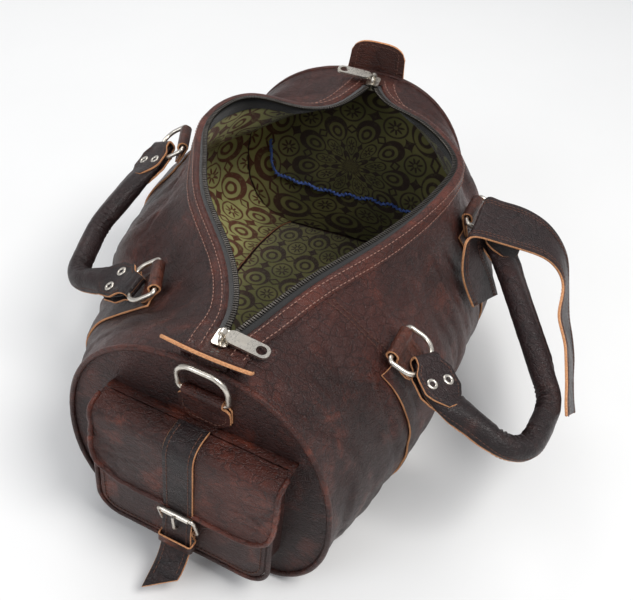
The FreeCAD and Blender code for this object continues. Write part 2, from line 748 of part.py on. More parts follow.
def zip_end_tab(root_low, root_high, tip_high, tip_low, thickness):
    """Stiff leather tab past the zip's end, from its root to its free edge."""
    corners = [V(*p) for p in (root_low, root_high, tip_high, tip_low)]
    square = (corners[1] - corners[0]).cross(corners[3] - corners[0]).normalize()
    top, bottom = [], []
    for k in range(4):
        low = corners[0] + (corners[3] - corners[0]) * k / 3
        high = corners[1] + (corners[2] - corners[1]) * k / 3
        row = [low + (high - low) * j / 3 for j in range(4)]
        top.append([p + square * thickness / 2 for p in row])
        bottom.append([p - square * thickness / 2 for p in row])
    return thick_patch(top, bottom)


def handle_wrap():
    """Strap draped over the right handle, drawn as flat runs between its folds."""
    rows = [(V(*n), V(*f)) for n, f in zip(WRAP_NEAR, WRAP_FAR)]
    last = len(rows) - 1
    sections = []
    for i, (near, far) in enumerate(rows):
        ahead, behind = rows[min(i + 1, last)], rows[max(i - 1, 0)]
        run = ahead[0] + ahead[1] - behind[0] - behind[1]
        half = run.cross(far - near).normalize() * 1.2
        corners = [near + half, far + half, far - half, near - half]
        sections.append(Part.makePolygon(corners + [corners[0]]))
    return Part.makeLoft(sections, True, True)


def build():
    right, left = Side(RIGHT, 1), Side(LEFT, -1)
    parts = {}
    for body, name in ((right, "right"), (left, "left")):
        parts["side_panel_" + name] = side_panel(body)
        parts["lining_" + name] = lining_side(body)
        parts["zip_facing_" + name] = facing(body)
        stations = len(body.table)
        parts["zip_tape_" + name] = strip_along_lip(body, CHAIN_WIDTH + 0.8, TAPE_WIDTH - 3.5,
                                                    -1.0, -1.7, 1, stations - 1)
        parts["zip_teeth_" + name] = strip_along_lip(body, 0.1, CHAIN_WIDTH, 1.2, -1.2,
                                                     1, stations - 1)
    sheet = thick_patch(base_rows(right, left, BASE_Z + LEATHER),
                        base_rows(right, left, BASE_Z))
    parts["base_panel"] = sheet.fuse(base_sag())
    parts["base_strap_front"] = base_strap(right, left, FRONT_RING_X, 139)
    parts["base_strap_rear"] = base_strap(right, left, REAR_RING_X, 143)
    for name, index, place in (("front", -1, FRONT), ("rear", 0, REAR)):
        edge = outline(right, left, index, place, 4.4)
        parts["end_panel_" + name] = placed(plate(edge, 0.3, 0.3 + LEATHER), place)
        edge = outline(right, left, index, place, 4.8)
        parts["lining_end_" + name] = placed(plate(edge, -1.2, -0.4), place)
        edge = outline(right, left, index, place, 0.4)
        tube = [V(2.8, p.y, p.z) for p in edge]
        parts["piping_" + name] = placed(round_bar(tube, PIPING_R, True), place)
    right_handle = Handle(right, math.radians(22), 8.6, 162, 172)
    left_handle = Handle(left, math.radians(31), 10.5, 160, 168)
    for handle, name, path, radii in (
            (right_handle, "right", RIGHT_PATH, RIGHT_RADII),
            (left_handle, "left", LEFT_PATH, LEFT_RADII)):
        ring_shape = ring(RING_HALF, RING_DEPTH, RING_CORNER)
        parts["ring_" + name + "_front"] = placed(ring_shape, handle.place)
        there = frame(handle.bars[1], handle.out, handle.along)
        parts["ring_" + name + "_rear"] = placed(ring_shape, there)
        leather = handle_leather(handle, path, radii)
        parts["handle_" + name] = placed(leather, handle.place)
        points = [handle.at(*p) for p in path]
        parts["handle_core_" + name] = placed(swept(points, radii, CORE_R), handle.place)
        rivets = rivet_pair(handle, 0.0, path[0]) + rivet_pair(handle, -handle.span, path[-1])
        parts["handle_rivets_" + name] = placed(Part.Compound(rivets), handle.place)
        for index, end, x in ((0, "front", FRONT_RING_X), (1, "rear", REAR_RING_X)):
            parts["ring_chape_" + name + "_" + end] = chape(handle.body, handle, index, x,
                                                              TONGUES[name])
    parts["handle_wrap"] = handle_wrap()
    parts["base_board"] = thick_patch(inset_rows(base_rows(right, left, 6.6), 8),
                                      inset_rows(base_rows(right, left, 4.4), 8))
    local = {
        "pocket_body": pocket_body(), "pocket_piping": pocket_piping(),
        "pocket_flap": pocket_flap(), "closure_strap": closure_strap(),
        "closure_strap_tail": closure_tail(), "buckle_frame": buckle_frame(),
        "buckle_roller": buckle_roller(), "buckle_prong": buckle_prong(),
        "buckle_chape": buckle_chape(), "strap_keeper": strap_keeper(),
        "end_ring_chape": end_ring_chape(),
        "pocket_flap_root": ribbon([(2.6, FLAP_PIVOT[1]), (10.3, FLAP_PIVOT[1])], LEATHER,
                                   FLAP_HALF, FLAP_MID)}
    lean = math.radians(END_RING_LEAN)
    ring_frame = frame(V(END_RING_AT[0], END_RING_MID, END_RING_AT[1]),
                       V(math.sin(lean), 0, math.cos(lean)), V(0, -1, 0))
    local["end_ring"] = placed(ring(RING_HALF, RING_DEPTH, RING_CORNER), ring_frame)
    for name, shape in local.items():
        parts[name] = placed(shape, FRONT)
    parts["zip_tab_front"] = zip_end_tab((192.5, -27, 204.8), (200, 42, 205.6),
                                         (207.5, 43, 216.5), (203, -25, 214.5), 2.6)
    parts["zip_tab_rear"] = zip_end_tab((-213, -16, 206), (-213, 40, 206), (-219, 36, 241),
                                        (-219, -12, 241), 3.0)
    for name, at, direction, swing in (
            ("front", SLIDER_FRONT_AT, V(1, -0.05, -0.02), PULLER_FRONT_SWING),
            ("rear", SLIDER_REAR_AT, V(-1, -0.05, 0.02), PULLER_REAR_SWING)):
        place = along_zip(at, direction, V(0, 0, 1))
        parts["slider_" + name] = placed(slider_solid(), place)
        parts["puller_" + name] = placed(puller_in_slider(swing), place)
    return right, left, parts


if __name__ == "__main__":
    os.makedirs("parts", exist_ok=True)
    right, left, parts = build()
    for name, shape in parts.items():
        solids = len(shape.Solids)
        print(name, shape.isValid(), solids, round(shape.Volume), shape.optimalBoundingBox(False))
        shape.exportStep("parts/" + name + ".step")
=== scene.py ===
"""Leather duffel bag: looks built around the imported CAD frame. Points are in millimetres
in the row's frame, and meshes are made in metres."""

import json
import math

import bpy
import numpy as np
from mathutils import Matrix, Vector, noise


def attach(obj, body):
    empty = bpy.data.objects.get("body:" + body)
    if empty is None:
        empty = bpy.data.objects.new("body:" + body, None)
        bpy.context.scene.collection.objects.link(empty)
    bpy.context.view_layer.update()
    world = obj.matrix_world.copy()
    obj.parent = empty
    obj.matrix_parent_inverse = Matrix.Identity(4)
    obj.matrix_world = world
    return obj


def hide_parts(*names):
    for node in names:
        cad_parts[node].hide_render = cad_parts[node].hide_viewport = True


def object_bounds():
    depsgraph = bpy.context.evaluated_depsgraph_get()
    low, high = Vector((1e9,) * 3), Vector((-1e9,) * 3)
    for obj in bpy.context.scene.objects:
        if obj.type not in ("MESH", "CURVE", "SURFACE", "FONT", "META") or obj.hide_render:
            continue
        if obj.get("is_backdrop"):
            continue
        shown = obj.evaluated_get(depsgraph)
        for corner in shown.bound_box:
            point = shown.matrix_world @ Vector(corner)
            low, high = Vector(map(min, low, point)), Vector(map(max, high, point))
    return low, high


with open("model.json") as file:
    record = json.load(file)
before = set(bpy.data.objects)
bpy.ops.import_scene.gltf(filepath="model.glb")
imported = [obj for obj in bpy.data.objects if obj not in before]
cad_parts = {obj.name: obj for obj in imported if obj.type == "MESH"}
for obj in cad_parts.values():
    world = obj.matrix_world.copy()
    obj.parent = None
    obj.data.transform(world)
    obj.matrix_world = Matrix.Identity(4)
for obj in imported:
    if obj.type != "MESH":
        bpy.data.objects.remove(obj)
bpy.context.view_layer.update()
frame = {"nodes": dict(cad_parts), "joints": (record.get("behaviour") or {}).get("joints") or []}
MM = 0.001


# ---- small maths ------------------------------------------------------------------------
def vec(*p):
    return np.array(p, float)


def unit(a):
    a = np.asarray(a, float)
    return a / np.maximum(np.linalg.norm(a, axis=-1, keepdims=True), 1e-12)


def smooth(a, b, x):
    t = np.clip((np.asarray(x, float) - a) / (b - a), 0, 1)
    return t * t * (3 - 2 * t)


def perlin(p, size, seed=0.0):
    """Perlin noise, about -1 to 1, of points in mm with features of this size (mm or xyz)."""
    scaled = np.asarray(p, float) / size + seed
    flat = scaled.reshape(-1, 3)
    found = np.array([noise.noise(Vector(q)) for q in flat])
    return found.reshape(scaled.shape[:-1])


def lengths(points):
    return np.concatenate([[0], np.cumsum(np.linalg.norm(np.diff(points, axis=0), axis=1))])


def resample(points, at):
    """Points at these distances along a line."""
    reach = lengths(points)
    return np.stack([np.interp(at, reach, points[:, k]) for k in range(points.shape[1])], 1)


def evenly(points, count):
    return resample(points, np.linspace(0, lengths(points)[-1], count))


def spline(points, count, closed=False):
    """Smooth line through points (rows of any width), evenly sampled."""
    p = np.asarray(points, float)
    if closed:
        p = np.concatenate([p[-3:], p, p[:4]])
    t = np.concatenate([[0], np.cumsum(np.maximum(
        np.linalg.norm(np.diff(p, axis=0), axis=1), 1e-6) ** 0.5)])
    n = len(p)
    h = np.diff(t)
    a = np.zeros((n, n))
    b = np.zeros_like(p)
    a[0, 0] = a[-1, -1] = 1
    for i in range(1, n - 1):
        a[i, i - 1], a[i, i], a[i, i + 1] = h[i - 1], 2 * (h[i - 1] + h[i]), h[i]
        b[i] = 6 * ((p[i + 1] - p[i]) / h[i] - (p[i] - p[i - 1]) / h[i - 1])
    m = np.linalg.solve(a, b)
    low, high = (t[3], t[-4]) if closed else (t[0], t[-1])
    x = np.linspace(low, high, count * 6)
    k = np.clip(np.searchsorted(t, x) - 1, 0, n - 2)
    u, w, hk = x - t[k], t[k + 1] - x, h[k]
    u, w, hk = u[:, None], w[:, None], hk[:, None]
    fine = (m[k] * w ** 3 + m[k + 1] * u ** 3) / (6 * hk)
    fine += (p[k] / hk - m[k] * hk / 6) * w + (p[k + 1] / hk - m[k + 1] * hk / 6) * u
    return evenly(fine, count)


def rounded(points, radii, step=2.0):
    """Line of straight runs with its inner corners rounded to these radii."""
    p = [np.asarray(q, float) for q in points]
    out = [p[0]]
    for i in range(1, len(p) - 1):
        a, b = unit(p[i - 1] - p[i]), unit(p[i + 1] - p[i])
        angle = math.acos(float(np.clip(a @ b, -1, 1)))
        reach = radii[i - 1] / math.tan(angle / 2)
        centre = p[i] + unit(a + b) * radii[i - 1] / math.sin(angle / 2)
        start, end = p[i] + a * reach - centre, p[i] + b * reach - centre
        turn = math.pi - angle
        for k in range(13):
            s = k / 12
            out.append(centre + (math.sin((1 - s) * turn) * start
                                 + math.sin(s * turn) * end) / math.sin(turn))
    out.append(p[-1])
    line = np.array(out)
    return evenly(line, max(4, int(lengths(line)[-1] / step)))


def bezier(points, t):
    a, b, c, d = points
    t = np.asarray(t)[:, None]
    return a * (1 - t) ** 3 + b * 3 * (1 - t) ** 2 * t + c * 3 * (1 - t) * t ** 2 + d * t ** 3


# ---- mesh makers ------------------------------------------------------------------------
def make_mesh(name, verts, faces, materials, which=None, uv=None, sharp=()):
    """Mesh object from points in mm; which is each face's material number."""
    mesh = bpy.data.meshes.new(name)
    mesh.from_pydata((np.asarray(verts, float) * MM).tolist(), [], [list(f) for f in faces])
    for m in materials:
        mesh.materials.append(m)
    mesh.polygons.foreach_set("use_smooth", [True] * len(mesh.polygons))
    if which is not None:
        mesh.polygons.foreach_set("material_index", list(which))
    if uv is not None:
        layer = mesh.uv_layers.new(name="flat")
        loops = np.zeros(len(mesh.loops), int)
        mesh.loops.foreach_get("vertex_index", loops)
        layer.data.foreach_set("uv", (np.asarray(uv, float)[loops] * MM).ravel())
    if len(sharp):
        marks = mesh.attributes.new("sharp_edge", "BOOLEAN", "EDGE")
        ends = np.zeros(len(mesh.edges) * 2, int)
        mesh.edges.foreach_get("vertices", ends)
        edge = np.zeros(len(verts), bool)
        edge[list(sharp)] = True
        ends = ends.reshape(-1, 2)
        marks.data.foreach_set("value", edge[ends[:, 0]] & edge[ends[:, 1]])
    mesh.validate()
    mesh.update()
    obj = bpy.data.objects.new(name, mesh)
    bpy.context.scene.collection.objects.link(obj)
    return obj


def finish_piece(obj, body, slot, *nodes):
    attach(obj, body)
    if nodes:
        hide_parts(*nodes)
    return obj


def grid_normals(grid):
    du = np.gradient(grid, axis=0)
    dv = np.gradient(grid, axis=1)
    return unit(np.cross(du, dv))


def grid_uv(grid):
    m, n = grid.shape[:2]
    u = np.concatenate([[0], np.cumsum(np.linalg.norm(np.diff(grid[:, n // 2], axis=0), axis=1))])
    v = np.concatenate([[0], np.cumsum(np.linalg.norm(np.diff(grid[m // 2], axis=0), axis=1))])
    return np.stack(np.meshgrid(u, v, indexing="ij"), -1)


def sheet(name, grid, thickness, materials, lift=0.0, flip=False):
    """Sheet with rounded cut edges round a grid of points: its outer face is material 0,
    its edges 1 and its inner face 2 (or 0)."""
    grid = np.asarray(grid, float)
    m, n = grid.shape[:2]
    normal = grid_normals(grid) * (-1 if flip else 1)
    top = grid + normal * (lift + thickness / 2)
    low = grid + normal * (lift - thickness / 2)
    uv = grid_uv(grid)
    verts = [top.reshape(-1, 3), low.reshape(-1, 3)]
    uvs = [uv.reshape(-1, 2), uv.reshape(-1, 2)]
    ring = [(i, 0) for i in range(m)] + [(m - 1, j) for j in range(1, n)]
    ring += [(i, n - 1) for i in range(m - 2, -1, -1)] + [(0, j) for j in range(n - 2, 0, -1)]
    rim = []
    for i, j in ring:
        away = np.zeros(3)
        if i in (0, m - 1):
            away += grid[i, j] - grid[1 if i == 0 else m - 2, j]
        if j in (0, n - 1):
            away += unit(grid[i, j] - grid[i, 1 if j == 0 else n - 2])
        rim.append((top[i, j] + low[i, j]) / 2 + unit(away) * thickness * 0.3)
    verts.append(np.array(rim))
    uvs.append(np.array([uv[i, j] for i, j in ring]))
    faces, which = [], []
    inner = 2 if len(materials) > 2 else 0
    for i in range(m - 1):
        for j in range(n - 1):
            a, b, c, d = i * n + j, (i + 1) * n + j, (i + 1) * n + j + 1, i * n + j + 1
            quad = (a, b, c, d) if not flip else (a, d, c, b)
            faces.append(quad)
            which.append(0)
            faces.append(tuple(m * n + q for q in reversed(quad)))
            which.append(inner)
    index = [i * n + j for i, j in ring]
    count = len(ring)
    edge = min(1, len(materials) - 1)
    for k in range(count):
        a, b = index[k], index[(k + 1) % count]
        ra, rb = 2 * m * n + k, 2 * m * n + (k + 1) % count
        pair = [(b, a, ra, rb), (rb, ra, m * n + a, m * n + b)]
        faces += pair if not flip else [tuple(reversed(f)) for f in pair]
        which += [edge, edge]
    sharp = index + [m * n + q for q in index]
    return make_mesh(name, np.concatenate(verts), faces, materials, which,
                     np.concatenate(uvs), sharp)


def line_frames(line, closed=False, first=None):
    """Tangents and two square directions along a line, without twist."""
    if closed:
        tangent = unit(np.roll(line, -1, 0) - np.roll(line, 1, 0))
    else:
        tangent = unit(np.gradient(line, axis=0))
    start = np.array(first if first is not None else (0, 0, 1), float)
    if abs(start @ tangent[0]) > 0.95:
        start = vec(1, 0, 0)
    square = [unit(start - tangent[0] * (start @ tangent[0]))]
    for t in tangent[1:]:
        s = square[-1] - t * (square[-1] @ t)
        square.append(unit(s))
    square = np.array(square)
    return tangent, square, np.cross(tangent, square)


def tube(name, line, radius, materials, sides=14, closed=False, first=None, shape=None,
         which=None):
    """Tube along a line. shape(i, angles) gives a ring's offsets along its two directions."""
    line = np.asarray(line, float)
    _, square, other = line_frames(line, closed, first)
    angles = np.arange(sides) / sides * 2 * math.pi
    radius = np.broadcast_to(radius, (len(line),))
    verts, uvs = [], []
    reach = lengths(line)
    for i, p in enumerate(line):
        if shape is None:
            a, b = np.cos(angles) * radius[i], np.sin(angles) * radius[i]
        else:
            a, b = shape(i, angles)
        verts.append(p + a[:, None] * square[i] + b[:, None] * other[i])
        uvs.append(np.stack([np.full(sides, reach[i]), angles * radius[i]], 1))
    verts, uvs = np.concatenate(verts), np.concatenate(uvs)
    count = len(line)
    faces, kinds = [], []
    for i in range(count if closed else count - 1):
        for j in range(sides):
            k, i2, j2 = i * sides + j, (i + 1) % count, (j + 1) % sides
            faces.append((k, i * sides + j2, i2 * sides + j2, i2 * sides + j))
            kinds.append(which(i, j) if which else 0)
    if not closed:
        faces.append(tuple(reversed(range(sides))))
        faces.append(tuple((count - 1) * sides + j for j in range(sides)))
        kinds += [0, 0]
    return make_mesh(name, verts, faces, materials, kinds, uvs)


def many(name, template, faces, frames, materials, which=None):
    """One mesh holding a copy of a small template at each (origin, x, y, z) frame."""
    template = np.asarray(template, float)
    verts, all_faces, kinds = [], [], []
    for k, (o, x, y, z) in enumerate(frames):
        verts.append(o + template[:, :1] * x + template[:, 1:2] * y + template[:, 2:] * z)
        all_faces += [tuple(q + k * len(template) for q in f) for f in faces]
        kinds += list(which) if which is not None else [0] * len(faces)
    return make_mesh(name, np.concatenate(verts), all_faces, materials, kinds)


def lathe(profile, sides=20):
    """Template turned about Z from (radius, height) points, closed round on itself."""
    verts, faces = [], []
    n = len(profile)
    for k in range(sides):
        a = 2 * math.pi * k / sides
        verts += [(r * math.cos(a), r * math.sin(a), h) for r, h in profile]
    for k in range(sides):
        k2 = (k + 1) % sides
        for j in range(n):
            j2 = (j + 1) % n
            faces.append((k * n + j, k2 * n + j, k2 * n + j2, k * n + j2))
    return verts, faces


def stitch_template(length, width, height):
    """A plump thread stitch along X, lying in the surface."""
    verts, faces = [], []
    for x, s in ((-0.5, 0.25), (-0.34, 0.85), (0, 1), (0.34, 0.85), (0.5, 0.25)):
        for k in range(6):
            a = k * math.pi / 3
            verts.append((x * length, math.cos(a) * s * width / 2,
                          math.sin(a) * s * height / 2 + (s - 1) * height * 0.3))
    for i in range(4):
        for k in range(6):
            k2 = (k + 1) % 6
            faces.append((i * 6 + k, i * 6 + k2, (i + 1) * 6 + k2, (i + 1) * 6 + k))
    faces.append(tuple(reversed(range(6))))
    faces.append(tuple(24 + k for k in range(6)))
    return verts, faces


STITCH = stitch_template(3.0, 0.85, 0.8)


def stitches(name, lines, material, pitch=4.0):
    """Rows of stitches; each line is (points, normals)."""
    frames = []
    for points, normals in lines:
        reach = lengths(points)[-1]
        at = np.arange(pitch / 2, reach, pitch)
        if len(at) < 2:
            continue
        spots = resample(points, at)
        source = lengths(points)
        ups = unit(np.stack([np.interp(at, source, normals[:, k]) for k in range(3)], 1))
        runs = unit(np.gradient(spots, axis=0))
        for o, x, z in zip(spots, runs, ups):
            z = unit(z - x * (z @ x))
            frames.append((o, x, np.cross(z, x), z))
    return many(name, STITCH[0], STITCH[1], frames, [material])


# ---- materials --------------------------------------------------------------------------
class Nodes:
    """Short hand for building a node tree."""

    def __init__(self, name):
        self.material = bpy.data.materials.new(name)
        self.material.use_nodes = True
        self.tree = self.material.node_tree
        self.shader = self.tree.nodes["Principled BSDF"]

    def add(self, kind, inputs=(), **settings):
        node = self.tree.nodes.new(kind)
        for k, value in settings.items():
            setattr(node, k, value)
        for key, value in dict(inputs).items():
            self.put(node.inputs[key], value)
        return node

    def put(self, socket, value):
        if isinstance(value, bpy.types.NodeSocket):
            self.tree.links.new(value, socket)
        elif isinstance(value, bpy.types.Node):
            self.tree.links.new(value.outputs[0], socket)
        else:
            socket.default_value = value

    def math(self, operation, *values):
        node = self.tree.nodes.new("ShaderNodeMath")
        node.operation = operation
        for k, value in enumerate(values):
            self.put(node.inputs[k], value)
        return node.outputs[0]

    def ramp(self, value, low, high, out_low=0.0, out_high=1.0):
        return self.add("ShaderNodeMapRange", {
            "Value": value, "From Min": low, "From Max": high, "To Min": out_low,
            "To Max": out_high}, interpolation_type="SMOOTHSTEP").outputs[0]

    def mix(self, factor, a, b):
        node = self.tree.nodes.new("ShaderNodeMix")
        node.data_type = "RGBA"
        for key, value in ((0, factor), (6, a), (7, b)):
            self.put(node.inputs[key], value)
        return node.outputs[2]

    def noise(self, where, scale, detail=3.0, roughness=0.55, distortion=0.0):
        return self.add("ShaderNodeTexNoise", {
            "Vector": where, "Scale": scale, "Detail": detail, "Roughness": roughness,
            "Distortion": distortion}).outputs[0]

    def place(self):
        return self.add("ShaderNodeTexCoord").outputs["Object"]

    def bump(self, height, strength, distance):
        return self.add("ShaderNodeBump", {"Height": height, "Strength": strength,
                                           "Distance": distance}).outputs[0]

    def plus(self, first, *others):
        for value in others:
            first = self.math("ADD", first, value)
        return first

    def minus(self, a, b):
        return self.math("SUBTRACT", a, b)

    def times(self, a, b):
        return self.math("MULTIPLY", a, b)

    def set(self, **values):
        names = {"colour": "Base Color", "rough": "Roughness", "metal": "Metallic",
                 "normal": "Normal", "coat": "Coat Weight", "coat_rough": "Coat Roughness",
                 "sheen": "Sheen Weight", "specular": "Specular IOR Level"}
        for key, value in values.items():
            self.put(self.shader.inputs[names[key]], value)
        return self.material


def rgb(r, g, b):
    """Linear colour from 0-255 screen values."""
    def one(x):
        x = x / 255
        return x / 12.92 if x < 0.04045 else ((x + 0.055) / 1.055) ** 2.4
    return (one(r), one(g), one(b), 1.0)


def leather(name, dark, middle, warm, grain=1.0, gloss=0.0):
    """Waxed leather: pebbled and creased grain, cloudy colour, worn lighter on its creases."""
    n = Nodes(name)
    where = n.place()
    place = n.add("ShaderNodeSeparateXYZ", {0: where}).outputs
    # Darker towards the bottom and towards the two ends, lighter and redder higher up.
    height_and_end_tone = n.plus(n.ramp(place[2], 0.04, 0.21, -0.10, 0.09),
                    n.ramp(n.math("ABSOLUTE", place[0]), 0.11, 0.21, 0.0, -0.06))
    cloud = n.plus(n.noise(where, 9.0, 4.0, 0.6), height_and_end_tone)
    patch = n.noise(where, 34.0, 4.0, 0.62, 0.6)
    warped = n.add("ShaderNodeVectorMath", {0: where, 1: n.add("ShaderNodeVectorMath", {
        0: n.add("ShaderNodeTexNoise", {"Vector": where, "Scale": 160.0,
                                        "Detail": 3.0}).outputs[1],
        1: (0.004, 0.004, 0.004)}, operation="MULTIPLY").outputs[0]}, operation="ADD").outputs[0]
    pebble = n.add("ShaderNodeTexVoronoi", {"Vector": warped, "Scale": 520.0},
                   feature="DISTANCE_TO_EDGE").outputs["Distance"]
    pebble = n.ramp(pebble, 0.0, 0.22)
    stretched = n.add("ShaderNodeMapping", {"Vector": warped,
                                            "Scale": (1.0, 0.45, 1.6)}).outputs[0]
    crease = n.add("ShaderNodeTexVoronoi", {"Vector": stretched, "Scale": 120.0},
                   feature="DISTANCE_TO_EDGE").outputs["Distance"]
    crease = n.ramp(crease, 0.0, 0.10)
    wrinkle = n.noise(stretched, 230.0, 5.0, 0.65, 1.2)
    fine = n.noise(where, 2600.0, 2.0)
    base = n.mix(n.ramp(cloud, 0.36, 0.66), dark, middle)
    base = n.mix(n.ramp(patch, 0.50, 0.78, 0.0, 0.75), base, warm)
    worn = n.times(n.ramp(wrinkle, 0.52, 0.74), n.ramp(patch, 0.35, 0.7, 0.1, 0.55))
    base = n.mix(worn, base, warm)
    # Painted shade: the fine crease lines of the grain are darkened towards a deep brown.
    base = n.mix(n.ramp(crease, 0.0, 0.6, 0.55, 0.0), base,
                 tuple(c * 0.35 for c in dark[:3]) + (1.0,))
    height = n.plus(n.times(pebble, 0.35 * grain), n.times(wrinkle, 0.9 * grain),
                    n.times(crease, 0.32 * grain), n.times(fine, 0.05), n.times(patch, 0.9))
    bump = n.bump(height, 0.75, 0.0013)
    rough = n.plus(n.ramp(wrinkle, 0.3, 0.75, 0.47 - gloss, 0.33 - gloss),
                   n.ramp(patch, 0.3, 0.7, 0.06, -0.04))
    return n.set(colour=base, rough=rough, normal=bump, coat=0.05, coat_rough=0.3,
                 specular=0.3)


def raw_edge(name, light, deep):
    """Cut leather edge: fibrous, unfinished tan."""
    n = Nodes(name)
    where = n.place()
    fibre = n.noise(where, 900.0, 4.0, 0.7)
    blotch = n.noise(where, 70.0, 3.0)
    base = n.mix(n.ramp(fibre, 0.3, 0.7), deep, light)
    base = n.mix(n.ramp(blotch, 0.5, 0.75, 0.0, 0.5), base, deep)
    bump = n.bump(fibre, 0.5, 0.0005)
    return n.set(colour=base, rough=0.8, normal=bump)


def thread(name, colour):
    n = Nodes(name)
    where = n.place()
    twist = n.noise(where, 2200.0, 2.0)
    base = n.mix(n.ramp(twist, 0.3, 0.7), tuple(c * 0.6 for c in colour[:3]) + (1,), colour)
    bump = n.bump(twist, 0.6, 0.0003)
    return n.set(colour=base, rough=0.65, normal=bump)


def metal(name, colour, rough, dull):
    """Plated metal with fine scratches and cloudy wear."""
    n = Nodes(name)
    where = n.place()
    streak = n.noise(n.add("ShaderNodeMapping", {"Vector": where, "Scale": (1, 1, 14)}), 420.0,
                     4.0, 0.7)
    cloud = n.noise(where, 90.0, 4.0, 0.6)
    base = n.mix(n.ramp(cloud, 0.42, 0.75, 0.0, 0.5), colour, dull)
    roughness = n.plus(n.ramp(streak, 0.3, 0.7, rough - 0.06, rough + 0.1),
                       n.ramp(cloud, 0.4, 0.7, 0.0, 0.12))
    bump = n.bump(streak, 0.06, 0.0002)
    return n.set(colour=base, rough=roughness, metal=1.0, normal=bump)


def woven(name, colour, pale, scale):
    """Fine twill or tape, on the piece's object coordinates."""
    n = Nodes(name)
    where = n.place()
    waves = n.add("ShaderNodeTexWave", {"Vector": where, "Scale": scale, "Distortion": 1.5,
                                        "Detail": 2.0}, bands_direction="DIAGONAL").outputs[1]
    fuzz = n.noise(where, 1500.0, 3.0)
    base = n.mix(n.times(waves, n.ramp(fuzz, 0.3, 0.7)), colour, pale)
    bump = n.bump(waves, 0.5, 0.0004)
    return n.set(colour=base, rough=0.85, normal=bump, sheen=0.2)


def printed_lining(name):
    """Olive cotton printed with dark rings, crescents, rosettes and small diamonds,
    with painted light making it paler on the left wall of the bag."""
    n = Nodes(name)
    uv = n.add("ShaderNodeUVMap", uv_map="flat").outputs[0]
    split = n.add("ShaderNodeSeparateXYZ", {0: uv})
    where = n.place()
    wobble = n.noise(where, 260.0, 3.0)
    pitch = 0.042

    def cell(shift_u, shift_v):
        """Distance and angle from the middle of a square cell, in cell widths."""
        x, y = [n.minus(n.math("FRACT", n.plus(n.math("DIVIDE", split.outputs[k], pitch),
                                               shift)), 0.5)
                for k, shift in enumerate((shift_u, shift_v))]
        r = n.math("SQRT", n.plus(n.times(x, x), n.times(y, y)))
        return x, y, r, n.math("ARCTAN2", y, x)

    def band(value, middle, width):
        off = n.math("ABSOLUTE", n.minus(value, middle))
        return n.ramp(off, width - 0.012, width + 0.018, 1.0, 0.0)

    def below(value, limit):
        return n.ramp(value, limit - 0.014, limit + 0.014, 1.0, 0.0)

    x, y, r, _ = cell(0.0, 0.0)
    moved = n.minus(x, 0.07)
    off_centre = n.math("SQRT", n.plus(n.times(moved, moved), n.times(y, y)))
    crescent = n.times(below(r, 0.36), n.minus(1.0, below(off_centre, 0.255)))
    heart = band(off_centre, 0.13, 0.035)
    _, _, r2, angle2 = cell(0.5, 0.5)
    petals = n.plus(0.13, n.times(0.065, n.math("COSINE", n.times(angle2, 8.0))))
    rosette = n.times(below(n.minus(r2, petals), 0.0), n.minus(1.0, below(r2, 0.045)))
    halo = band(r2, 0.265, 0.02)
    x3, y3, _, _ = cell(0.5, 0.0)
    star = below(n.plus(n.math("POWER", n.math("ABSOLUTE", x3), 0.6),
                        n.math("POWER", n.math("ABSOLUTE", y3), 0.6)), 0.40)
    x4, y4, _, _ = cell(0.0, 0.5)
    oval = band(n.plus(n.math("ABSOLUTE", n.times(x4, 1.6)), n.math("ABSOLUTE", y4)),
                0.17, 0.045)
    ink = crescent
    for mask in (heart, rosette, halo, star, oval):
        ink = n.math("MAXIMUM", ink, mask)
    ink = n.times(ink, n.ramp(wobble, 0.25, 0.5, 0.7, 1.0))
    olive = n.mix(n.ramp(n.noise(where, 25.0), 0.35, 0.7), rgb(92, 92, 50), rgb(112, 108, 62))
    base = n.mix(ink, olive, rgb(46, 28, 20))
    # Painted light: a paler copy of the cloth and its ink, for the left wall of the bag.
    painted_light_cloth = n.mix(ink, n.mix(n.noise(where, 60.0), rgb(150, 152, 92), rgb(196, 190, 128)),
                  rgb(104, 58, 40))
    across = n.add("ShaderNodeSeparateXYZ", {0: where}).outputs[1]
    # Painted light: the left wall (low object y) gets the paler copy.
    base = n.mix(n.ramp(across, -0.125, -0.055, 1.0, 0.0), base, painted_light_cloth)
    weave = n.add("ShaderNodeTexWave", {"Vector": uv, "Scale": 900.0, "Distortion": 0.4},
                  bands_direction="DIAGONAL").outputs[1]
    height = n.plus(n.times(weave, 0.2), n.times(n.noise(where, 55.0, 3.0), 2.2))
    bump = n.bump(height, 0.6, 0.0012)
    return n.set(colour=base, rough=0.9, normal=bump, sheen=0.15)


BODY = leather("body_leather", rgb(38, 20, 18), rgb(62, 31, 26), rgb(98, 48, 36))
SOFT = leather("pocket_leather", rgb(46, 22, 18), rgb(74, 36, 28), rgb(112, 54, 38), 0.8, 0.05)
GRIP = leather("handle_leather", rgb(27, 18, 19), rgb(40, 25, 25), rgb(60, 36, 32), 0.75, 0.04)
STRAP = leather("strap_leather", rgb(44, 22, 17), rgb(72, 37, 27), rgb(116, 60, 40), 0.7, 0.05)
BINDING = leather("binding_leather", rgb(58, 24, 17), rgb(88, 40, 27), rgb(128, 62, 42), 0.6, 0.07)
TAN = raw_edge("raw_leather_edge", rgb(214, 160, 114), rgb(160, 100, 62))
FLESH = raw_edge("flesh_side", rgb(176, 122, 84), rgb(120, 76, 50))
THREAD = thread("brown_thread", rgb(92, 56, 42))
PALE_THREAD = thread("light_brown_thread", rgb(158, 118, 104))
NICKEL = metal("nickel", rgb(214, 208, 198), 0.27, rgb(176, 166, 152))
TEETH = metal("zip_teeth_metal", rgb(84, 80, 76), 0.38, rgb(50, 47, 45))
TAPE = woven("zip_tape_cloth", rgb(16, 15, 16), rgb(40, 38, 38), 900.0)
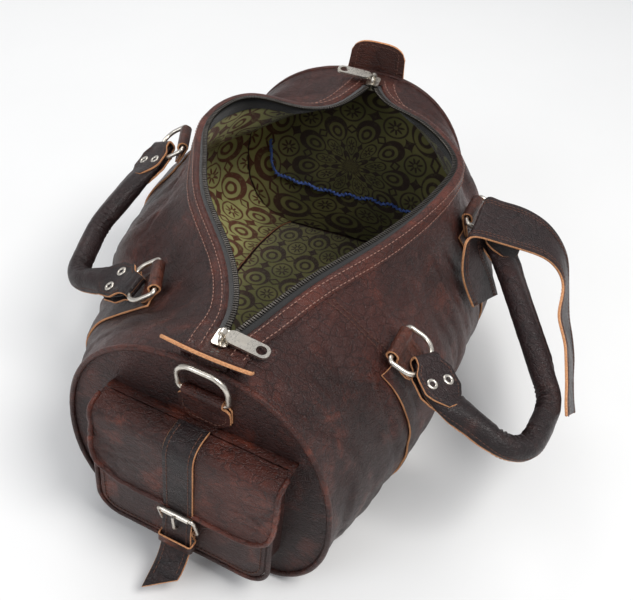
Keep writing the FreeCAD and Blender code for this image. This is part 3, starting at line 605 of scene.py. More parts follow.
LINING = printed_lining("printed_lining")
BOARD = printed_lining("printed_base_lining")
BLUE = thread("blue_thread", rgb(86, 116, 200))
# Near-black colour for the discs in the eyelets' holes: painted shade.
HOLE_SHADE = thread("hole_painted_shade", rgb(12, 10, 10))


# ---- frames of the two ends -------------------------------------------------------------
BASE_Z = 2.2
FRONT_X, REAR_X = 208.7, -207.0
FRONT_YAW, FRONT_LEAN, BLEND_START = 0.151, -0.0486, 60.0


class Place:
    """Local out, across and up directions at an origin."""

    def __init__(self, origin, out, across):
        self.origin = np.asarray(origin, float)
        self.out = unit(out)
        self.up = unit(np.cross(self.out, across))
        self.across = np.cross(self.up, self.out)

    def at(self, local):
        local = np.asarray(local, float)
        return (self.origin + local[..., :1] * self.out + local[..., 1:2] * self.across
                + local[..., 2:] * self.up)


FRONT = Place((FRONT_X, 0, 0), (1, -FRONT_YAW, -FRONT_LEAN), (FRONT_YAW, 1, 0))
REAR = Place((REAR_X, 0, 0), (-1, 0, 0), (0, -1, 0))

# Body stations, rear to front: x, base half width, widest half width, teeth line, fullness.
RIGHT = [
    (-207, 62, 121, (-207, 15, 214), (0.60, 0.60, 0.00)),
    (-190, 72, 141, (-186, 17, 215), (0.55, 0.55, 0.03)),
    (-168, 80, 160, (-160, 38, 213), (0.45, 0.45, 0.15)),
    (-143, 86, 171, (-147, 72, 211), (0.40, 0.20, 0.25)),
    (-108, 90, 177, (-108, 112, 209), (0.33, 0.00, 0.33)),
    (-68, 92, 178, (-70, 116, 208), (0.33, 0.00, 0.33)),
    (-18, 92, 175, (-18, 101, 207), (0.38, 0.15, 0.28)),
    (40, 90, 168, (42, 74, 206), (0.45, 0.30, 0.25)),
    (97, 86, 154, (97, 44, 205), (0.50, 0.42, 0.16)),
    (146, 78, 141, (146, 23.5, 204), (0.52, 0.48, 0.10)),
    (180, 70, 127, (178, 11.5, 203), (0.56, 0.55, 0.03)),
    (208.7, 62, 114, (0, 9, 200), (0.60, 0.60, 0.00)),
]
LEFT = [
    (-207, 62, 121, (-207, 15, 214), (0.60, 0.60, 0.00)),
    (-194, 72, 138, (-186, 16, 215), (0.55, 0.55, 0.03)),
    (-180, 77, 152, (-160, 8, 213), (0.50, 0.50, 0.10)),
    (-166, 81, 162, (-134, -8, 211), (0.42, 0.45, 0.20)),
    (-146, 85, 171, (-124, -42, 209), (0.36, 0.30, 0.28)),
    (-120, 88, 177, (-124, -84, 208), (0.33, 0.05, 0.33)),
    (-75, 92, 178, (-76, -104, 208), (0.33, 0.00, 0.33)),
    (-25, 92, 175, (-25, -89, 207), (0.36, 0.15, 0.30)),
    (35, 90, 166, (30, -63, 206), (0.36, 0.30, 0.32)),
    (97, 86, 148, (92, -17, 205), (0.26, 0.36, 0.40)),
    (146, 78, 137, (146, 8, 204), (0.42, 0.45, 0.22)),
    (180, 70, 127, (178, 9.5, 203), (0.54, 0.55, 0.05)),
    (208.7, 62, 114, (0, 9, 200), (0.60, 0.60, 0.00)),
]
TAPE_WIDTH = 9.0
BELLY_Z = 80.0          # height of the body's widest line
ROWS, COLUMNS = 241, 97


class Side:
    """One side of the shell as a fine grid: rows run rear to front, columns base to zip."""

    def __init__(self, table, side):
        self.side = side
        teeth = np.array([row[3] for row in table], float)
        teeth[-1, 0] = FRONT_X + FRONT_YAW * teeth[-1, 1] + FRONT_LEAN * teeth[-1, 2]
        edges = []
        for i, p in enumerate(teeth):
            if i == 0:
                away = vec(0, side, 0)
            elif i == len(teeth) - 1:
                away = unit(vec(FRONT_YAW, side, 0))
            else:
                along = teeth[i + 1] - teeth[i - 1]
                away = unit(vec(-along[1] * side, along[0] * side, 0))
            edges.append(p + away * TAPE_WIDTH)
        lines = []
        for (x, base, wide, _, (rise, spread, drop)), edge in zip(table, edges):
            def at(y, z, x=x):
                blend = min(1.0, max(0.0, (x - BLEND_START) / (FRONT_X - BLEND_START)))
                return vec(x + blend * (FRONT_YAW * y + FRONT_LEAN * z), y, z)
            foot, belly = at(side * base, BASE_Z), at(side * wide, BELLY_Z)
            low_a = at(side * (base + 0.55 * (wide - base)), BASE_Z)
            low_b = at(side * wide, BELLY_Z - 0.6 * (BELLY_Z - BASE_Z))
            high_a = at(side * wide, BELLY_Z + rise * (edge[2] - BELLY_Z))
            high_b = vec(edge[0] + spread * (high_a[0] - edge[0]),
                         edge[1] + spread * (side * wide - edge[1]),
                         edge[2] - drop * (edge[2] - BELLY_Z))
            fine = np.concatenate([bezier((foot, low_a, low_b, belly), np.linspace(0, .98, 40)),
                                   bezier((belly, high_a, high_b, edge), np.linspace(0, 1, 61))])
            lines.append(evenly(fine, COLUMNS))
        stacked = np.concatenate([np.array(lines).reshape(len(lines), -1), teeth], 1)
        dense = spline(stacked, ROWS)
        self.clean = dense[:, :-3].reshape(ROWS, COLUMNS, 3)
        self.teeth = dense[:, -3:]
        self.clean[0, :, 0] = REAR_X
        normal = grid_normals(self.clean) * -side
        self.normal = normal
        self.grid = self.clean + normal * self.folds()[..., None]
        self.normal = grid_normals(self.grid) * -side
        self.run = np.array([lengths(row)[-1] for row in self.grid])

    def folds(self):
        """How far the leather sinks in from its full shape: sags, soft folds and creases."""
        p = self.clean
        x, z = p[..., 0], p[..., 2]
        shift = 31.7 * (self.side + 2)
        sag = perlin(p, 95.0, shift) * 2.2
        fold = 1 - np.abs(perlin(p, vec(26, 60, 70), shift + 5)) * 2.6
        crease = 1 - np.abs(perlin(p, vec(17, 30, 34), shift + 9)) * 3.4
        depth = 1.8 + sag + 1.9 * np.clip(fold, 0, 1) + 0.8 * np.clip(crease, 0, 1)
        for cx, cz, wide, tall, deep in ((150, 150, 16, 60, 2.6), (-150, 150, 14, 60, 3.0),
                                         (25, 150, 60, 22, 2.6), (60, 60, 90, 16, 1.8)):
            depth = depth + deep * np.exp(-((x - cx) / wide) ** 2 - ((z - cz) / tall) ** 2)
        share = np.linspace(0, 1, COLUMNS)[None, :]
        calm = smooth(0.0, 0.10, share) * (1 - 0.85 * smooth(0.80, 0.96, share))
        along = np.linspace(0, 1, ROWS)[:, None]
        calm = calm * smooth(0.0, 0.04, along) * (1 - smooth(0.96, 1.0, along))
        return -np.clip(depth, 0.1, 7.0) * calm

    def row_at(self, x, column):
        """Fractional row where this column reaches x."""
        return np.interp(x, self.grid[:, column, 0], np.arange(ROWS))

    def sample(self, row, column):
        """Point and normal at fractional rows and columns."""
        row, column = np.broadcast_arrays(np.clip(row, 0, ROWS - 1.001),
                                          np.clip(column, 0, COLUMNS - 1.001))
        i, j = row.astype(int), column.astype(int)
        fi, fj = (row - i)[..., None], (column - j)[..., None]

        def blend(a):
            return ((a[i, j] * (1 - fi) + a[i + 1, j] * fi) * (1 - fj)
                    + (a[i, j + 1] * (1 - fi) + a[i + 1, j + 1] * fi) * fj)
        return blend(self.grid), unit(blend(self.normal))

    def from_lip(self, rows, distances, offset=0.0):
        """Grid of points this far down from the leather's edge, raised off it."""
        rows = np.asarray(rows, float)
        run = np.interp(rows, np.arange(ROWS), self.run)
        column = (COLUMNS - 1) * (1 - np.asarray(distances, float)[None, :] / run[:, None])
        p, n = self.sample(rows[:, None] + np.zeros_like(column), column)
        return p + n * np.asarray(offset)[..., None], n

    def height_column(self, x, z):
        """Column whose point at x is at this height."""
        heights = [self.sample(np.array(self.row_at(x, j)), np.array(float(j)))[0][2]
                   for j in range(COLUMNS)]
        return float(np.interp(z, heights, np.arange(COLUMNS)))


right, left = Side(RIGHT, 1), Side(LEFT, -1)
SIDES = (("right", right), ("left", left))


# ---- shell, lining and base -------------------------------------------------------------
for name, side in SIDES:
    shell = sheet("shell_" + name, side.grid, 2.0, [BODY, SOFT, FLESH],
                  lift=-1.0, flip=side.side > 0)
    finish_piece(shell, "body", "body_leather", "side_panel_" + name)
    inner = side.grid[:, :-2] - side.normal[:, :-2] * 3.4
    inner = inner - side.normal[:, :-2] * (0.8 + 0.8 * perlin(inner, 40.0, 3))[..., None]
    lining = sheet("inside_" + name, inner, 0.7, [LINING], flip=side.side < 0)
    finish_piece(lining, "body", "lining_cotton", "lining_" + name)


def between_feet(z, inset, count, wobble):
    """Grid across the base between the two sides' feet."""
    rows = []
    for i in range(0, ROWS, 4):
        low, high = left.clean[i, 0], right.clean[i, 0]
        a = unit(high - low) * inset
        t = np.linspace(0, 1, count)[:, None]
        rows.append((low + a) * (1 - t) + (high - a) * t)
    grid = np.array(rows)
    grid[..., 2] = z
    grid[..., 2] += wobble * perlin(grid, 50.0, 8)
    return grid


base = sheet("base_leather", between_feet(BASE_Z + 1.0, 0.0, 41, 0.3), 2.0, [BODY, TAN])
finish_piece(base, "body", "body_leather", "base_panel")
board = sheet("base_lining", between_feet(5.9, 4.0, 41, 0.5)[1:-1], 1.4, [BOARD])
finish_piece(board, "body", "lining_cotton", "base_board")


def end_outline(index, place, inset):
    """Closed outline of an end in its own plane, moved inwards."""
    feet = [left.clean[index, 0] + (right.clean[index, 0] - left.clean[index, 0]) * k / 8
            for k in range(1, 8)]
    loop = np.concatenate([right.clean[index], left.clean[index][::-1], feet])
    local = (loop - place.origin) @ np.stack([place.out, place.across, place.up], 1)
    local[:, 0] = 0
    local = evenly(np.concatenate([local, local[:1]]), 161)[:-1]
    tangent = unit(np.roll(local, -1, 0) - np.roll(local, 1, 0))
    inward = np.stack([np.zeros(160), -tangent[:, 2], tangent[:, 1]], 1)
    centre = vec(0, 0, 100)
    inward *= np.sign(np.sum(inward * (centre - local), 1))[:, None]
    moved = local + inward * inset
    for _ in range(3):
        moved = (np.roll(moved, 1, 0) + moved * 2 + np.roll(moved, -1, 0)) / 4
    return moved


def filled(outline, centre, rings=22, bulge=0.0, seed=0.0, rough=0.8):
    """Grid from an outline to its middle, a little domed and dimpled."""
    rows = []
    for k in range(rings + 1):
        t = 1 - (k / rings) ** 1.1 * 0.995
        ring = centre + (outline - centre) * t
        ring[:, 0] = outline[:, 0] + bulge * (1 - t ** 3)
        dent = perlin(ring, 42.0, seed) + 0.5 * perlin(ring, vec(18, 30, 14), seed + 4)
        ring[:, 0] += rough * dent * (1 - t ** 6)
        rows.append(ring)
    grid = np.array(rows)
    return np.concatenate([grid, grid[:, :1]], 1)


for name, index, place, nodes in (("front", -1, FRONT, "end_panel_front"),
                                  ("rear", 0, REAR, "end_panel_rear")):
    edge = end_outline(index, place, 1.4)
    disc = filled(edge, vec(0, 0, 100), bulge=1.4, seed=3.0, rough=0.7)
    panel = sheet("end_" + name, place.at(disc + vec(1.3, 0, 0)), 1.8, [BODY], flip=True)
    finish_piece(panel, "body", "body_leather", nodes)
    disc = filled(end_outline(index, place, 3.6), vec(0, 0, 100), rough=0.9, seed=7.0)
    disc[..., 0] = np.minimum(disc[..., 0] - 1.2, -0.6)
    flat_lining = sheet("inside_end_" + name, place.at(disc), 0.7, [LINING])
    finish_piece(flat_lining, "body", "lining_cotton", "lining_end_" + name)
    cord_line = place.at(end_outline(index, place, 0.4) + vec(2.7, 0, 0))
    ripple = 2.4 + 0.14 * perlin(cord_line, 7.0, 2) + 0.1 * perlin(cord_line, 2.6, 5)
    welt = tube("welt_" + name, cord_line, ripple, [SOFT], 12, closed=True)
    finish_piece(welt, "body", "piping_leather", "piping_" + name)


# ---- zip --------------------------------------------------------------------------------
OPEN_ROWS = np.linspace(3, ROWS - 4, 230)
seams = []
for name, side in SIDES:
    s = side.side
    profile_d = vec(-0.4, -0.6, -0.2, 0.6, 1.6, 3.5, 6.5, 9.5, 12.0, 13.2, 13.6)
    profile_h = vec(-3.4, -1.9, -0.5, 0.6, 1.25, 1.35, 1.25, 1.3, 1.35, 1.1, 0.5)
    grid, _ = side.from_lip(OPEN_ROWS, np.maximum(profile_d, 0.0), profile_h)
    towards = unit(side.teeth[OPEN_ROWS.astype(int)] - grid[:, 3])
    for k in range(3):
        grid[:, k] += towards * (0.9, 1.0, 0.6)[k]
    band = sheet("zip_band_" + name, grid, 0.9, [SOFT], flip=s > 0)
    finish_piece(band, "body", "body_leather", "zip_facing_" + name)
    for d in (2.4, 11.4):
        line, normal = side.from_lip(OPEN_ROWS[6:-6], vec(d), vec(2.15))
        seams.append((line[:, 0], normal[:, 0]))
    away = unit(side.from_lip(OPEN_ROWS, vec(0.0), vec(0.0))[0][:, 0]
                - side.teeth[OPEN_ROWS.astype(int)])
    start = side.teeth[OPEN_ROWS.astype(int)]
    drop = [vec(0, 0, 0), vec(0, 0, -0.2), vec(0, 0, -1.0), vec(0, 0, -3.2), vec(0, 0, -9),
            vec(0, 0, -17)]
    reach = (2.0, 4.0, 7.0, 10.4, 12.6, 13.6)
    tape_rows = np.stack([start + away * r + d for r, d in zip(reach, drop)], 1)
    lip_in, _ = side.from_lip(OPEN_ROWS, vec(2.0, 8.0, 15.0), vec(-3.9, -4.9, -5.3))
    tape_rows = np.concatenate([tape_rows[:, :4], lip_in], 1)
    tape = sheet("zip_tape_cloth_" + name, tape_rows, 0.6, [TAPE], flip=s < 0)
    finish_piece(tape, "body", "zip_tape", "zip_tape_" + name)
    line = evenly(side.teeth[2:-3], 400)
    total = lengths(line)[-1]
    at = np.arange(1.2 + (0.0 if s > 0 else 1.2), total, 2.4)
    spots = resample(line, at)
    runs = unit(np.gradient(spots, axis=0))
    out = unit(np.cross(np.tile(vec(0, 0, 1), (len(at), 1)), runs)) * s
    frames = [(p, r, o, vec(0, 0, 1)) for p, r, o in zip(spots, runs, out)]
    tooth = [(x * w, y, z * h) for y, w, h in ((-0.9, .62, .85), (-0.2, .78, 1.15), (2.2, .62, 1.2),
                                               (3.3, .55, .9))
             for x, z in ((-1, -1), (1, -1), (1, 1), (-1, 1))]
    faces = [(3, 2, 1, 0), (12, 13, 14, 15)]
    for k in range(3):
        for j in range(4):
            faces.append((k * 4 + j, k * 4 + (j + 1) % 4, k * 4 + 4 + (j + 1) % 4, k * 4 + 4 + j))
    teeth = many("zip_teeth_row_" + name, tooth, faces, frames, [TEETH])
    teeth.data.polygons.foreach_set("use_smooth", [False] * len(teeth.data.polygons))
    finish_piece(teeth, "body", "zip_teeth", "zip_teeth_" + name)


# ---- base straps ------------------------------------------------------------------------
strap_seams = []
for across in (-2.2, 2.2):
    column_rows = [right.row_at(103 + across, j) for j in range(62, 92)]
    p, n = right.sample(np.array(column_rows), np.arange(62.0, 92.0))
    strap_seams.append((p + n * 0.25, n))
for name, middle, tops in (("front", 97.0, (150, 147)), ("rear", -82.0, (158, 150))):
    columns = [s.height_column(middle, z) for (_, s), z in zip(SIDES, tops)]
    across = np.linspace(-24, 24, 13)
    halves = []
    for (_, s), top in zip(SIDES, columns):
        rows = []
        for j in np.linspace(0, top, 64):
            at_row = [s.row_at(middle + x, int(round(j))) for x in across]
            p, n = s.sample(np.array(at_row), np.full(13, j))
            rise = smooth(BASE_Z, BASE_Z + 9, p[:, 2])[:, None]
            n = unit(n * rise + vec(0, 0, -1) * (1 - rise))
            rows.append(p + n * 1.35)
        halves.append(np.array(rows))
    grid = np.concatenate([halves[1][::-1], halves[0]])
    grid[..., 2] = np.maximum(grid[..., 2], 0.85)
    strap = sheet("base_strap_" + name + "_leather", grid, 1.7, [BODY, TAN], flip=True)
    finish_piece(strap, "body", "body_leather", "base_strap_" + name)
    normal = grid_normals(grid) * -1
    for j in (1, 11):
        strap_seams.append((grid[:, j] + normal[:, j] * 0.95, normal[:, j]))


# ---- rings' leather loops and the handles -------------------------------------------------
JOINTS = {j["name"]: j for j in frame["joints"]}


def joint_at(name):
    return np.array(JOINTS[name]["pos_m"]) / MM


def strip(path, half_widths, origin, first, second, across, columns=9):
    """Grid of a strap: a path in the plane of two directions, drawn out across."""
    path = np.asarray(path, float)
    half = np.broadcast_to(half_widths, (len(path),))
    line = origin + path[:, :1] * first + path[:, 1:] * second
    side_steps = np.linspace(-1, 1, columns)
    return line[:, None] + side_steps[None, :, None] * half[:, None, None] * across


def front_strip(path, half_widths, across, columns):
    """Strap on the front end: its path runs out and up, this far across."""
    return strip(path, half_widths, FRONT.origin + FRONT.across * across, FRONT.out, FRONT.up,
                 FRONT.across, columns)


def sew(name, lines, body="body", material=THREAD, pitch=3.6, slot="body_leather"):
    finish_piece(stitches(name, lines, material, pitch), body, slot)


def leather_edge_rows(grid, inset, lift):
    """Lines a little inside both long edges of a strap, lying on its outer face."""
    normal = grid_normals(grid)
    width = np.linalg.norm(grid[:, -1] - grid[:, 0], axis=1)
    t = np.clip(inset / np.maximum(width, 1), 0, 0.5)[:, None]
    lows = grid[:, 0] * (1 - t) + grid[:, -1] * t
    highs = grid[:, 0] * t + grid[:, -1] * (1 - t)
    middle = normal[:, normal.shape[1] // 2]
    return [(lows + middle * lift, middle), (highs + middle * lift, middle)]


LOOP_CENTRE = 25        # from a ring's bar to the handle's end, across the ring
STEP = 1.6              # between the rings of points along a handle
chape_seams = []
handle_seams = []
EYELET = lathe([(1.7, -0.9), (2.6, 0.35), (3.6, 0.55), (4.4, 0.2), (4.7, -0.5), (4.2, -1.2),
                (2.0, -1.4)], 24)
for name, side, tongue, bends, radii in (
        ("right", right, 26, [(20, 52), (27, 126), (-42, 131), (-152, 44)], [20, 28, 36, 20]),
        ("left", left, 21, [(-21, 52), (-42, 97), (-108, 84), (-168, 38)], [20, 26, 50, 20])):
    bars = [joint_at("ring_" + name + "_front_swing"), joint_at("ring_" + name + "_rear_swing")]
    along = unit(bars[0] - bars[1])
    out = unit(joint_at("handle_" + name + "_swing") - bars[0])
    face = unit(np.cross(along, out))
    face = face if face[2] > 0 else -face

    for end, bar in zip(("front", "rear"), bars):
        column = side.height_column(bar[0], bar[2] - 4)
        row = side.row_at(bar[0], int(round(column)))
        outside = side.sample(np.array(row), np.array(column))[1]
        outside = unit(outside - along * (outside @ along))
        up = unit(np.cross(outside, along))
        up = up if up[2] > 0 else -up
        path = rounded([(-4.6, -tongue), (-4.6, -5), (-4.4, 3.4), (3.6, 3.9), (4.2, -3.9),
                        (-1.6, -6.2), (-2.4, -12), (-2.4, 1.5 - tongue)], [2, 3.6, 3.6, 3.2, 6, 6],
                       1.1)
        half = np.interp(path[:, 1], [-tongue, 4 - tongue, 2], [13.5, 15.5, 14.6])
        grid = strip(path, half, bar, outside, up, along, 11)
        turned = np.cross(grid[1, 5] - grid[0, 5], along) @ outside
        loop = sheet("ring_loop_" + name + "_" + end, grid, 1.7, [STRAP, TAN], flip=turned < 0)
        finish_piece(loop, "body", "body_leather", "ring_chape_" + name + "_" + end)
        tongue_end = 4.0 - tongue
        corners = [bar + outside * -1.4 + along * a + up * b for a, b in (
            (-12, -8), (-12, tongue_end), (12, tongue_end), (12, -8))]
        outline = evenly(np.array(corners), 40)
        chape_seams.append((outline, np.tile(outside, (40, 1))))

    points = [bars[0] + out * LOOP_CENTRE]
    points += [bars[0] + along * a + out * o for a, o in bends]
    points.append(bars[1] + out * LOOP_CENTRE)
    centre = rounded(points, radii, STEP)
    reach = lengths(centre)
    from_end = np.minimum(reach, reach[-1] - reach)
    middle = bars[0] * 0.5 + bars[1] * 0.5 + out * 60
    wide = np.interp(from_end, [0, 12, 24, 40, 58, 80], [10.5, 13.5, 15.0, 12.6, 10.2, 9.7])
    thick = np.interp(from_end, [0, 12, 24, 40, 54, 70], [2.0, 2.2, 3.4, 7.6, 9.4, 9.7])
    tangent, square, other = line_frames(centre, first=face)
    bend = np.linalg.norm(np.gradient(tangent, axis=0), axis=1) / STEP
    for _ in range(4):
        bend = np.convolve(bend, np.ones(5) / 5, "same")
    inner = np.sign(np.sum(other * (middle - centre), axis=1))
    outer_side = -np.sign(np.median(inner))
    seam_turn = 0.75 * smooth(reach[-1] * 0.5, reach[-1] * 0.62, reach) - 0.25

    def section(i, angles):
        toward = np.cos(angles - (0 if inner[i] > 0 else math.pi) - math.pi / 2)
        gather = np.clip(toward, 0, 1) ** 1.3 * min(1.0, bend[i] * 38)
        ripple = math.sin(reach[i] * 2 * math.pi / 5.2 + 1.3 * math.sin(reach[i] * 0.21))
        rough = 0.22 * perlin(centre[i] + 11.4 * (np.cos(angles)[:, None] * square[i]
                                                  + np.sin(angles)[:, None] * other[i]), 7.0, 4)
        round_off = rough + gather * (1.9 * ripple - 0.8)
        seam_at = outer_side * (math.pi / 2 - seam_turn[i])
        seam = np.clip(np.cos(angles - seam_at), 0, 1) ** 40
        wing = 2.6 * seam * np.clip(1 - bend[i] * 22, 0.2, 1) * min(1.0, from_end[i] / 26)
        power = 0.72 + 0.28 * min(1.0, thick[i] / 10)
        a = (np.sign(np.cos(angles)) * np.abs(np.cos(angles)) ** power
             * (thick[i] + round_off + wing * min(1.0, thick[i] / 9)))
        b = np.sin(angles) * (wide[i] + round_off + wing)
        return a, b

    grip = tube("grip_" + name, centre, 11.5, [GRIP, TAN], 40, first=face, shape=section,
                which=lambda i, j: int(abs((j + 0.5) * math.pi / 20
                                           - (outer_side * (math.pi / 2 - seam_turn[i]))
                                           % (2 * math.pi)) < 0.11
                                       and reach[i] < reach[-1] * 0.42 and from_end[i] > 14))
    finish_piece(grip, "handle_" + name, "handle_leather", "handle_" + name,
                 "handle_core_" + name)
    keep = slice(22, len(centre) - 22)
    for turn in (0.34, -0.34):
        at = math.pi / 2 - seam_turn - turn
        row_out = np.cos(at)[:, None] * square + np.sin(at)[:, None] * other * outer_side
        on_face = (centre + np.cos(at)[:, None] * square * (thick + 0.15)[:, None]
                   + np.sin(at)[:, None] * other * outer_side * (wide + 0.15)[:, None])
        handle_seams.append((name, on_face[keep], unit(row_out)[keep]))

    for end, base, toward in (("front", points[0], points[1]), ("rear", points[-1], points[-2])):
        run = unit(toward - base)
        across = unit(np.cross(face, run))
        for layer, sign in (("top", 1), ("under", -1)):
            path = rounded([(-4.9, 0), (-4.6, 4.6 * sign), (6, 4.4 * sign), (15, 3.6 * sign),
                            (30, 4.3 * sign), (41, 6.6 * sign)], [3.0, 4, 8, 12], 1.4)
            half = np.interp(path[:, 0], [-5, 3, 10, 26, 33, 41], [10.2, 11.5, 17, 17.4, 13, 5])
            grid = strip(path, half, base, run, face, across, 13)
            sag = 1 - np.linspace(-1, 1, 13)[None, :, None] ** 2
            grid = grid + face * sign * (sag - 0.7) * 0.8 * smooth(5, 30, path[:, 0])[:, None, None]
            tab = sheet("grip_tab_" + name + "_" + end + "_" + layer, grid, 1.9, [GRIP, TAN],
                        flip=sign < 0)
            finish_piece(tab, "handle_" + name, "handle_leather")
            rows = leather_edge_rows(grid[8:-2], 3.0, 1.05 * sign)
            handle_seams += [(name, p, n * sign) for p, n in rows]
        frames = []
        for offset in (-8, 8):
            for sign in (1, -1):
                frames.append((base + run * 20 + across * offset + face * sign * 5.0,
                               across, run * sign, face * sign))
        rivets = many("eyelets_" + name + "_" + end, EYELET[0], EYELET[1], frames, [NICKEL])
        # Near-black discs sunk in the eyelets' holes: painted shade inside each hole.
        shade_plug = lathe([(0.05, -1.2), (0.05, -0.75), (1.9, -0.75), (1.9, -1.2)], 14)
        dark = many("eyelet_hole_shade_" + name + "_" + end, shade_plug[0], shade_plug[1], frames, [HOLE_SHADE])
        finish_piece(rivets, "handle_" + name, "nickel", "handle_rivets_" + name)
        finish_piece(dark, "handle_" + name, "handle_leather")

# ---- strap draped over the right handle ---------------------------------------------------
WRAP_NEAR = [(-14, 167, 123), (-18, 153, 148), (-24, 148, 171), (-31, 152, 184), (-35, 169, 182),
             (-40, 193, 177), (-43, 214, 172), (-37, 229, 166), (-22, 236, 160), (1, 237, 152),
             (24, 247, 143), (57, 255, 132), (82, 260, 124)]
WRAP_FAR = [(-52, 184, 111), (-51, 172, 139), (-50, 158, 170), (-74, 153, 194), (-79, 163, 193),
            (-83, 181, 189), (-82, 205, 182), (-77, 225, 168), (-65, 238, 149), (-35, 248, 124),
            (-10, 257, 114), (26, 264, 104), (54, 269, 101)]
both = spline(np.concatenate([np.array(WRAP_NEAR, float), np.array(WRAP_FAR, float)], 1), 110)
share = np.linspace(0, 1, 11)[None, :, None]
wrap_grid = both[:, None, :3] * (1 - share) + both[:, None, 3:] * share
wrap_grid += unit(grid_normals(wrap_grid)) * (0.7 * perlin(wrap_grid, 24.0, 6))[..., None]
wrap = sheet("grip_wrap", wrap_grid, 2.3, [GRIP, TAN])
finish_piece(wrap, "handle_right", "handle_leather", "handle_wrap")
for inset, lift in ((4.0, 1.2), (6.5, 1.2), (4.0, -1.2), (6.5, -1.2)):
    for p, n in leather_edge_rows(wrap_grid, inset, lift):
        handle_seams.append(("right", p, n * (1 if lift > 0 else -1)))

for name in ("right", "left"):
    rows = [(p, n) for which, p, n in handle_seams if which == name]
    sew("grip_stitching_" + name, rows, "handle_" + name, slot="handle_leather")
sew("mouth_stitching", seams, material=PALE_THREAD, pitch=4.3)
sew("body_stitching", strap_seams + chape_seams, pitch=3.8)


# ---- end pocket ---------------------------------------------------------------------------
POCKET_MID, POCKET_HALF, POCKET_LOW, POCKET_HIGH = 2.0, 75.0, 24.0, 140.0


def pocket_loop(grow, corner, closed):
    a, low = POCKET_HALF + grow, POCKET_LOW - grow
    pts = [(0, POCKET_MID + a, POCKET_HIGH), (0, POCKET_MID + a, low),
           (0, POCKET_MID - a, low), (0, POCKET_MID - a, POCKET_HIGH)]
    line = rounded(pts, [corner, corner], 2.2)
    if closed:
        top = np.linspace(line[-1], line[0], 60)[1:-1]
        line = np.concatenate([line, top])
    return line


mouth = pocket_loop(-1.0, 17, True)
front_face = filled(mouth + vec(26.6, 0, 0), vec(0, POCKET_MID, 82), 20, 0.6, 12.0, 0.9)
pocket_front = sheet("pocket_front", FRONT.at(front_face), 1.9, [SOFT], flip=True)
finish_piece(pocket_front, "body", "body_leather", "pocket_body")
around = pocket_loop(-0.9, 17, False)
depths = np.linspace(2.6, 26.8, 12)
gusset = np.repeat(around[None], 12, 0)
gusset[..., 0] = depths[:, None]
inward = unit(vec(0, POCKET_MID, 84) - around)
dip = (1.6 * np.sin(np.linspace(0, math.pi, 12)))[:, None] + 0.6 * perlin(gusset, 22.0, 3)
gusset = gusset + inward[None] * np.clip(dip, 0, 4)[..., None]
side_wall = sheet("pocket_gusset", FRONT.at(gusset), 1.8, [SOFT])
finish_piece(side_wall, "body", "body_leather")
welt_line = pocket_loop(2.15, 20.15, False) + vec(27.0, 0, 0)
pocket_welt = tube("pocket_welt", FRONT.at(welt_line), 2.0 + 0.12 * perlin(welt_line, 6.0, 1),
                   [SOFT], 12)
finish_piece(pocket_welt, "body", "piping_leather", "pocket_piping")
hem = pocket_loop(-4.5, 14, False) + vec(28.1, 0, 0)
pocket_seams = [(FRONT.at(hem), np.tile(FRONT.out, (len(hem), 1)))]

HINGE_UP, FLAP_MID, FLAP_HALF, FLAP_CORNER = 146.5, 6.0, 78.0, 28
FLAP_ROWS = 44


def flap_path(low, raised=0.0):
    z = HINGE_UP
    return rounded([(12.4, 0, z + raised), (24.4, 0, z - 0.6 + raised),
                    (30.6 + raised, 0, z - 4 + raised * 0.4), (32.3 + raised, 0, z - 12),
                    (32.3 + raised, 0, low)], [6, 5, 6], 1.5)


path = flap_path(76)
whole = lengths(path)[-1]
grid = []
for a in np.linspace(-1, 1, 75):
    lateral = a * FLAP_HALF
    past = max(0.0, abs(lateral) - (FLAP_HALF - FLAP_CORNER))
    length = whole - (FLAP_CORNER - math.sqrt(max(FLAP_CORNER ** 2 - past ** 2, 0.0)))
    line = resample(path, np.linspace(0, length, FLAP_ROWS))
    line[:, 1] = FLAP_MID + lateral
    grid.append(line)
flap_grid = np.stack(grid, 1)
down = np.linspace(0, 1, FLAP_ROWS)[:, None]
lateral = (flap_grid[..., 1] - FLAP_MID) / FLAP_HALF
bulge = 1.3 * np.sin(math.pi * np.abs(lateral)) * smooth(0.25, 0.75, down)
bulge += 2.2 * smooth(0.72, 1.0, np.abs(lateral)) * smooth(0.6, 1.0, down)
bulge -= 0.5 * smooth(0.2, 0.0, np.abs(lateral)) * smooth(0.2, 0.5, down)
fold = np.clip(1 - np.abs(perlin(flap_grid, vec(30, 17, 12), 21)) * 3.2, 0, 1)
bulge -= fold * 1.1 * smooth(0.3, 0.8, np.abs(lateral)) * smooth(0.3, 0.6, down)
flap_grid[..., 0] += bulge * smooth(0.12, 0.4, down)
flap = sheet("flap_leather", FRONT.at(flap_grid), 1.9, [SOFT])
finish_piece(flap, "pocket_flap", "body_leather", "pocket_flap")
rim = np.concatenate([flap_grid[5:, 0], flap_grid[-1, 1:-1], flap_grid[5:, -1][::-1]])
rim = evenly(rim, 190)
binding = tube("flap_binding", FRONT.at(rim + vec(0.2, 0, 0)), 1.0, [BINDING], 14,
               first=FRONT.out, shape=lambda i, t: (2.1 * np.cos(t) * (1 + 0.09 * math.sin(i)),
                                                    3.0 * np.sin(t)))
finish_piece(binding, "pocket_flap", "body_leather")
root_grid = front_strip([(2.7, 145.6), (6.5, 146.8), (10.9, 146.5)], FLAP_HALF, FLAP_MID, 31)
root_strip = sheet("flap_root_leather", root_grid, 1.9, [SOFT])
finish_piece(root_strip, "body", "body_leather", "pocket_flap_root")

